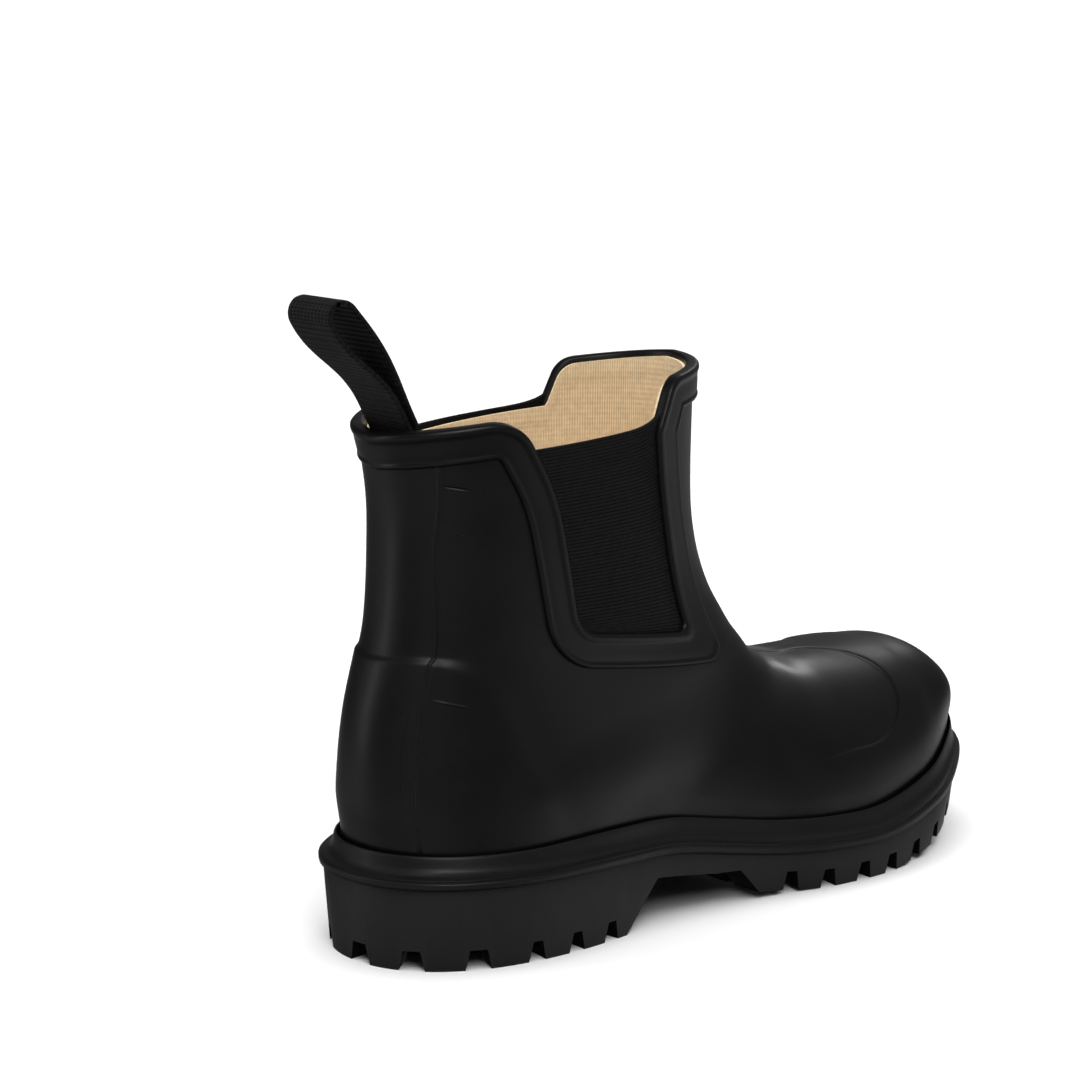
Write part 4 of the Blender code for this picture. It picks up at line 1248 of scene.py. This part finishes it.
def make_outsole(sizes):
    top_height = between_sole_lines(0)
    top = edge(top_height, past_upper(0))
    bottom = edge(top_height, past_upper(-SIDE_DRAFT))
    bottom[:, 2] = np.clip(table(SOLE, TREAD, bottom[:, 0]), 0, None)
    outsole = slab("lug_sole", top, bottom, FINISHES["sole"])
    half = len(bottom) // 2
    outer_line, inner_line = bottom[: half + 1], np.concatenate([bottom[:1], bottom[: half - 1 : -1]])
    sides = (
        (outer_line, OUTER_HEEL, HEEL_NOTCH),
        (outer_line, OUTER_SIDE, SIDE_NOTCH),
        (inner_line, INNER_HEEL, HEEL_NOTCH),
        (outer_line, OUTER_FOREFOOT, FOREFOOT_NOTCH),
        (inner_line, INNER_FOREFOOT, FOREFOOT_NOTCH),
    )
    notches = [notch(line, place, widths) for line, places, widths in sides for place in places]
    rings = []
    for within, level in ((0, -1), (0, 1), (1, 1), (1, -1)):
        ring = edge(top_height, past_upper(-SIDE_DRAFT - CHANNEL_IN[within]))
        ring[:, 2] = np.clip(table(SOLE, TREAD, ring[:, 0]), 0, None) + level * CHANNEL_HIGH
        rings.append(ring)
    helpers = [
        cutter("arch_cutter", [prism_points(ARCH_GAP, 1, -BEYOND, BEYOND)]),
        cutter("lug_cutter", notches),
        ring_body("channel_cutter", rings, None),
        cutter("groove_cutter", [groove(x) for x in CROSS_GROOVES]),
    ]
    # The faces cut by the helpers take the finish with painted shade, which darkens the notches, arch, channel and
    # grooves.
    for helper in helpers:
        helper.data.materials.append(FINISHES["recess"])
        cut(outsole, helper)
    soft_edge = outsole.modifiers.new("soft_edge", "BEVEL")
    soft_edge.width = sizes.sole_round
    soft_edge.segments = 2
    soft_edge.limit_method = "ANGLE"
    soft_edge.angle_limit = math.radians(SOLE_SHARP)
    even = outsole.modifiers.new("even_shade", "WEIGHTED_NORMAL")
    even.keep_sharp = True
    baked(outsole, SOLE_SHARP)
    for helper in helpers:
        bpy.data.objects.remove(helper)
    return on_boot(outsole, "sole_rubber", "outsole")


# Ribbed cloth


def rib_tree():
    """Geometry Nodes: lays a round rib along every edge marked as a guide and keeps the cloth under them."""
    tree = bpy.data.node_groups.new("cloth ribs", "GeometryNodeTree")
    sockets = tree.interface
    sockets.new_socket(name="Geometry", in_out="OUTPUT", socket_type="NodeSocketGeometry")
    sockets.new_socket(name="Geometry", in_out="INPUT", socket_type="NodeSocketGeometry")
    sockets.new_socket(name="Rib Radius", in_out="INPUT", socket_type="NodeSocketFloat").subtype = "DISTANCE"
    sockets.new_socket(name="Finish", in_out="INPUT", socket_type="NodeSocketMaterial")
    given = tree.nodes.new("NodeGroupInput").outputs
    guide = node(tree, "GeometryNodeInputNamedAttribute", {"Name": "guide"}, data_type="BOOLEAN").outputs["Attribute"]
    lines = node(tree, "GeometryNodeMeshToCurve", {"Mesh": given["Geometry"], "Selection": guide})
    section = node(tree, "GeometryNodeCurvePrimitiveCircle", {"Resolution": 6, "Radius": given["Rib Radius"]})
    ribs = {"Curve": lines.outputs["Curve"], "Profile Curve": section.outputs["Curve"], "Fill Caps": True}
    ribs = node(tree, "GeometryNodeCurveToMesh", ribs)
    # The ribs are marked so that the cloth finish paints them lighter than the cloth between them: painted light and
    # shade.
    marked = {"Geometry": ribs.outputs["Mesh"], "Name": "rib", "Value": 1.0}
    marked = node(tree, "GeometryNodeStoreNamedAttribute", marked, data_type="FLOAT", domain="POINT")
    cloth = {"Geometry": given["Geometry"], "Selection": guide}
    cloth = node(tree, "GeometryNodeDeleteGeometry", cloth, domain="EDGE")
    both = node(tree, "GeometryNodeJoinGeometry", {"Geometry": cloth.outputs["Geometry"]})
    tree.links.new(marked.outputs["Geometry"], both.inputs["Geometry"])
    plain = node(tree, "GeometryNodeRealizeInstances", {"Geometry": both.outputs["Geometry"]})
    dressed = {"Geometry": plain.outputs["Geometry"], "Material": given["Finish"]}
    dressed = node(tree, "GeometryNodeSetMaterial", dressed)
    node(tree, "NodeGroupOutput", {"Geometry": dressed.outputs["Geometry"]})
    return tree


def ribbed(made, guides, radius, finish, sharp):
    """Adds guide lines to a piece of cloth and turns them into ribs."""
    mesh = made.data
    work = bmesh.new()
    work.from_mesh(mesh)
    mark = work.edges.layers.bool.new("guide")
    for guide in guides:
        points = [work.verts.new(((point - BOOT_MIDDLE) * MM).tolist()) for point in guide]
        for start, end in zip(points[:-1], points[1:]):
            work.edges.new((start, end))[mark] = True
    work.to_mesh(mesh)
    work.free()
    tree = bpy.data.node_groups.get("cloth ribs") or rib_tree()
    ribs = made.modifiers.new("ribs", "NODES")
    ribs.node_group = tree
    sockets = {item.name: item.identifier for item in tree.interface.items_tree if item.in_out == "INPUT"}
    ribs[sockets["Rib Radius"]] = radius
    ribs[sockets["Finish"]] = finish
    return baked(made, sharp)


def make_gore(name, side, sizes):
    line = collar_line()
    line = finer(line + GORE_TUCK * right_hand(line), GORE_EDGE_STEP)
    lowest = int(np.argmin(line[:, 1]))
    rear, front = line[:lowest], line[lowest:]
    rear = rear[(rear[:, 1] < GORE_TOP_REAR) & (rear[:, 0] < GORE_CORNER)]
    front = front[front[:, 1] < GORE_TOP_FRONT][::-1]

    def grid(rows, columns):
        share = np.linspace(0, 1, columns)[:, None]
        pairs = zip(spaced(rear, rows), spaced(front, rows))
        made = np.array([start + (end - start) * share for start, end in pairs]) * (-side, 1)
        sag = GORE_SAG * share[:, 0] * (1 - share[:, 0] ** GORE_SAG_POWER)
        made[..., 1] -= sag * np.linspace(1, 0, rows)[:, None] ** 2
        return made

    cloth = grid(GORE_ROWS, GORE_COLUMNS)
    points = np.stack([on_shaft(cloth, -GORE_SET_BACK), on_shaft(cloth, -GORE_SET_BACK - GORE_THICK)])
    numbers = np.arange(cloth[..., 0].size).reshape(cloth.shape[:2])
    behind = numbers + numbers.size
    faces = [*quads(numbers, False).tolist(), *quads(behind, False)[:, ::-1].tolist()]
    for rim in (np.s_[0], np.s_[-1], np.s_[:, 0], np.s_[:, -1]):
        faces += quads(np.stack([numbers[rim], behind[rim]]), False).tolist()
    gore = piece(name + "_cloth", points, faces, [FINISHES["elastic"]], 50)
    tall = length_along(spaced(rear, GORE_ROWS))[-1]
    ribs = grid(round(tall / (sizes.rib_pitch / MM)), RIB_COLUMNS)
    guides = on_shaft(ribs, -GORE_SET_BACK - RIB_SINK)
    ribbed(gore, guides, sizes.rib_radius, FINISHES["elastic"], 60)
    return on_boot(gore, "black_elastic", name)


def loop_line():
    """Middle line of the webbing: the back leg sways and the front leg bows, so that the opening is drop-shaped."""
    line = finer(rounded(LOOP), LOOP_STEP)
    along = length_along(line)
    top = along[int(np.argmax(line[:, 1]))]
    rising, falling = along / top, (along - top) / (along[-1] - top)
    sway = LOOP_SWAY * np.sin(2 * np.pi * np.clip((rising - LOOP_HELD) / (1 - LOOP_HELD), 0, 1))
    bow = -LOOP_BOW * np.sin(np.pi * np.clip(falling / (1 - LOOP_HELD), 0, 1)) ** 1.5
    return line + right_hand(line) * np.where(along < top, sway, bow)[:, None]


def make_loop(sizes):
    line = loop_line()
    normals = right_hand(line)
    half_thick, half_width = sizes.web_thick / MM / 2, sizes.web_width / MM / 2
    rings = []
    for through, across in WEB_SECTION:
        x, z = (line + normals * through * half_thick).T
        rings.append(np.stack([x, np.full_like(x, LOOP_MIDDLE + across * half_width), z], -1))
    rings = np.stack(rings, 1)
    numbers = np.arange(rings.shape[0] * rings.shape[1]).reshape(rings.shape[:2])
    faces = [*quads(numbers, True).tolist(), numbers[0].tolist(), numbers[-1][::-1].tolist()]
    loop = piece("webbing_loop", rings, faces, [FINISHES["webbing"]], 60)
    along = length_along(line)
    across = np.tile([share for _, share in WEB_SECTION], len(line)) * half_width
    flow(loop, np.repeat(along, rings.shape[1]) * MM, across * MM)
    # Ribs go on the loop's outer face only; its inner face, without them, takes the webbing's darker tone as painted
    # shade in the loop's opening.
    places = np.arange(WEB_RIB_END, along[-1] - WEB_RIB_END, sizes.web_pitch / MM)
    bed = line - normals * (half_thick - WEB_RIB_BED)
    middle = np.stack([np.interp(places, along, column) for column in bed.T], -1)
    sides = LOOP_MIDDLE + half_width * WEB_RIB_PLACES
    guides = [np.array([(x, side, z) for side in sides]) for x, z in middle]
    ribbed(loop, guides, sizes.web_rib, FINISHES["webbing"], 60)
    return on_boot(loop, "black_webbing", "pull_loop")


# Stage


def in_scene(data, name, place=(0, 0, 0), aim=None):
    """Object in the scene at a place; a light or a camera looks along its aim."""
    made = bpy.data.objects.new(name, data)
    made.location = place
    if aim is not None:
        made.rotation_mode = "QUATERNION"
        made.rotation_quaternion = Vector(aim).to_track_quat("-Z", "Y")
    bpy.context.scene.collection.objects.link(made)
    return made


def studio_light():
    """Sky for the rubber to mirror, a wide light overhead for the floor, and the soft boxes."""
    world = bpy.data.worlds.new("studio")
    bpy.context.scene.world = world
    world.use_nodes = True
    tree = world.node_tree
    direction = node(tree, "ShaderNodeTexCoord").outputs["Generated"]
    parts = node(tree, "ShaderNodeSeparateXYZ", {0: direction}).outputs
    levels = []
    for axis, rows in (("Z", SKY), ("X", SKY_ROUND)):
        share = node(tree, "ShaderNodeMapRange", {"Value": parts[axis], "From Min": -1.0})
        ramp = node(tree, "ShaderNodeValToRGB", {"Fac": share.outputs["Result"]})
        stops = ramp.color_ramp.elements
        for _ in range(len(rows) - 2):
            stops.new(0.5)
        for stop, (at, level) in zip(stops, rows):
            stop.position = (at + 1) / 2
            stop.color = (level, level, level, 1)
        levels.append(ramp.outputs["Color"])
    back = tree.nodes["Background"]
    tree.links.new(levels[0], back.inputs["Color"])
    tree.links.new(maths(tree, "MULTIPLY", levels[1], SKY_STRENGTH), back.inputs["Strength"])
    sun = bpy.data.lights.new("overhead", "SUN")
    sun.energy, sun.angle = OVERHEAD_STRENGTH, OVERHEAD_WIDTH
    in_scene(sun, "overhead").visible_glossy = False
    for name, place, size, power in SOFT_BOXES:
        light = bpy.data.lights.new(name, "AREA")
        light.shape = "RECTANGLE"
        light.size, light.size_y = size
        light.energy = power
        in_scene(light, name, place, Vector(LIGHT_AIM) - Vector(place))


def plain_surface(name, points, faces, finish, settings):
    """Surface of the stage in a plain finish, which the rubber doesn't mirror."""
    mesh = bpy.data.meshes.new(name)
    mesh.from_pydata(points.tolist(), [], faces)
    paint = bpy.data.materials.new(finish)
    paint.use_nodes = True
    for label, value in settings.items():
        paint.node_tree.nodes["Principled BSDF"].inputs[label].default_value = value
    mesh.materials.append(paint)
    made = in_scene(mesh, name)
    made.visible_glossy = False
    return made


def studio_room(colours):
    """Pale round floor, and a white wall round it that only the camera sees."""
    turns = np.linspace(0, 2 * math.pi, FLOOR_SIDES, endpoint=False)
    rim = FLOOR_RADIUS * np.stack([np.cos(turns), np.sin(turns), np.zeros(FLOOR_SIDES)], -1)
    numbers = np.arange(FLOOR_SIDES)
    pale, white = (*colours.floor, 1.0), (1.0, 1.0, 1.0, 1.0)
    settings = {"Base Color": pale, "Roughness": 0.75, "Specular IOR Level": 0.2}
    floor = plain_surface("floor", rim, [numbers.tolist()], "pale floor", settings)
    rims = np.concatenate([rim, rim + (0, 0, FLOOR_RADIUS)])
    faces = quads(np.stack([numbers + FLOOR_SIDES, numbers]), True).tolist()
    settings = {"Base Color": pale, "Emission Color": white, "Emission Strength": 1.0}
    wall = plain_surface("backdrop", rims, faces, "pale wall", settings)
    wall.visible_diffuse = wall.visible_shadow = False


def studio_camera():
    scene = bpy.context.scene
    camera = bpy.data.cameras.new("camera")
    camera.sensor_width, camera.lens = CAMERA_SENSOR, CAMERA_LENS
    camera.clip_start, camera.clip_end = NEAR, FAR
    level = math.cos(CAMERA_ELEVATION)
    back = (math.sin(CAMERA_AZIMUTH) * level, -math.cos(CAMERA_AZIMUTH) * level, math.sin(CAMERA_ELEVATION))
    back = np.array(back)
    place = (CAMERA_TARGET + back * CAMERA_DISTANCE - BOOT_MIDDLE) * MM
    scene.camera = in_scene(camera, "camera", place.tolist(), (-back).tolist())
    scene.view_settings.view_transform = "Standard"
    scene.view_settings.look = "None"


class BOOT_OT_upper(bpy.types.Operator):
    """Rubber upper with its toe cap, heel counter and back strip."""

    bl_idname = "boot.upper"
    bl_label = "Upper"

    def execute(self, context):
        make_upper(context.scene.boot_sizes)
        return {"FINISHED"}


class BOOT_OT_binding(bpy.types.Operator):
    """Binding round the collar and the gores."""

    bl_idname = "boot.binding"
    bl_label = "Collar binding"

    def execute(self, context):
        make_binding()
        return {"FINISHED"}


class BOOT_OT_cotton(bpy.types.Operator):
    """Cotton lining and insole."""

    bl_idname = "boot.cotton"
    bl_label = "Lining and insole"

    def execute(self, context):
        make_lining(context.scene.boot_sizes)
        make_insole(context.scene.boot_sizes)
        return {"FINISHED"}


class BOOT_OT_sole(bpy.types.Operator):
    """Rand and lugged outsole."""

    bl_idname = "boot.sole"
    bl_label = "Rand and outsole"

    def execute(self, context):
        make_rand()
        make_outsole(context.scene.boot_sizes)
        return {"FINISHED"}


class BOOT_OT_gores(bpy.types.Operator):
    """Ribbed elastic gores on both sides."""

    bl_idname = "boot.gores"
    bl_label = "Gores"

    def execute(self, context):
        make_gore("gore_outer", -1, context.scene.boot_sizes)
        make_gore("gore_inner", 1, context.scene.boot_sizes)
        return {"FINISHED"}


class BOOT_OT_loop(bpy.types.Operator):
    """Webbing pull loop at the back."""

    bl_idname = "boot.loop"
    bl_label = "Pull loop"

    def execute(self, context):
        make_loop(context.scene.boot_sizes)
        return {"FINISHED"}


class BOOT_OT_stage(bpy.types.Operator):
    """Pale floor, studio light and the picture's camera."""

    bl_idname = "boot.stage"
    bl_label = "Stage"

    def execute(self, context):
        studio_room(context.scene.boot_colours)
        studio_light()
        studio_camera()
        return {"FINISHED"}


OPERATORS = (
    BOOT_OT_upper,
    BOOT_OT_binding,
    BOOT_OT_cotton,
    BOOT_OT_sole,
    BOOT_OT_gores,
    BOOT_OT_loop,
    BOOT_OT_stage,
)


class BOOT_PT_pieces(bpy.types.Panel):
    """Lists the boot's pieces."""

    bl_idname = "BOOT_PT_pieces"
    bl_label = "Rubber boot"
    bl_space_type = "VIEW_3D"
    bl_region_type = "UI"
    bl_category = "Boot"

    def draw(self, context):
        for made in OPERATORS:
            self.layout.operator(made.bl_idname)
        for group in (context.scene.boot_sizes, context.scene.boot_colours):
            for name in group.bl_rna.properties.keys():
                if name not in ("rna_type", "name"):
                    self.layout.prop(group, name)


CLASSES = (BootSizes, BootColours, *OPERATORS, BOOT_PT_pieces)


def register():
    for made in CLASSES:
        bpy.utils.register_class(made)
    bpy.types.Scene.boot_sizes = bpy.props.PointerProperty(type=BootSizes)
    bpy.types.Scene.boot_colours = bpy.props.PointerProperty(type=BootColours)


def unregister():
    del bpy.types.Scene.boot_colours
    del bpy.types.Scene.boot_sizes
    for made in reversed(CLASSES):
        bpy.utils.unregister_class(made)


def main():
    for old in list(bpy.context.scene.objects):
        if old.type in ("CAMERA", "LIGHT") or old.name == "Cube":
            bpy.data.objects.remove(old)
    register()
    make_finishes(bpy.context.scene.boot_colours)
    for made in OPERATORS:
        group, name = made.bl_idname.split(".")
        if getattr(getattr(bpy.ops, group), name)() != {"FINISHED"}:
            raise RuntimeError(f"{made.bl_label} was not made")


if __name__ == "__main__":
    main()
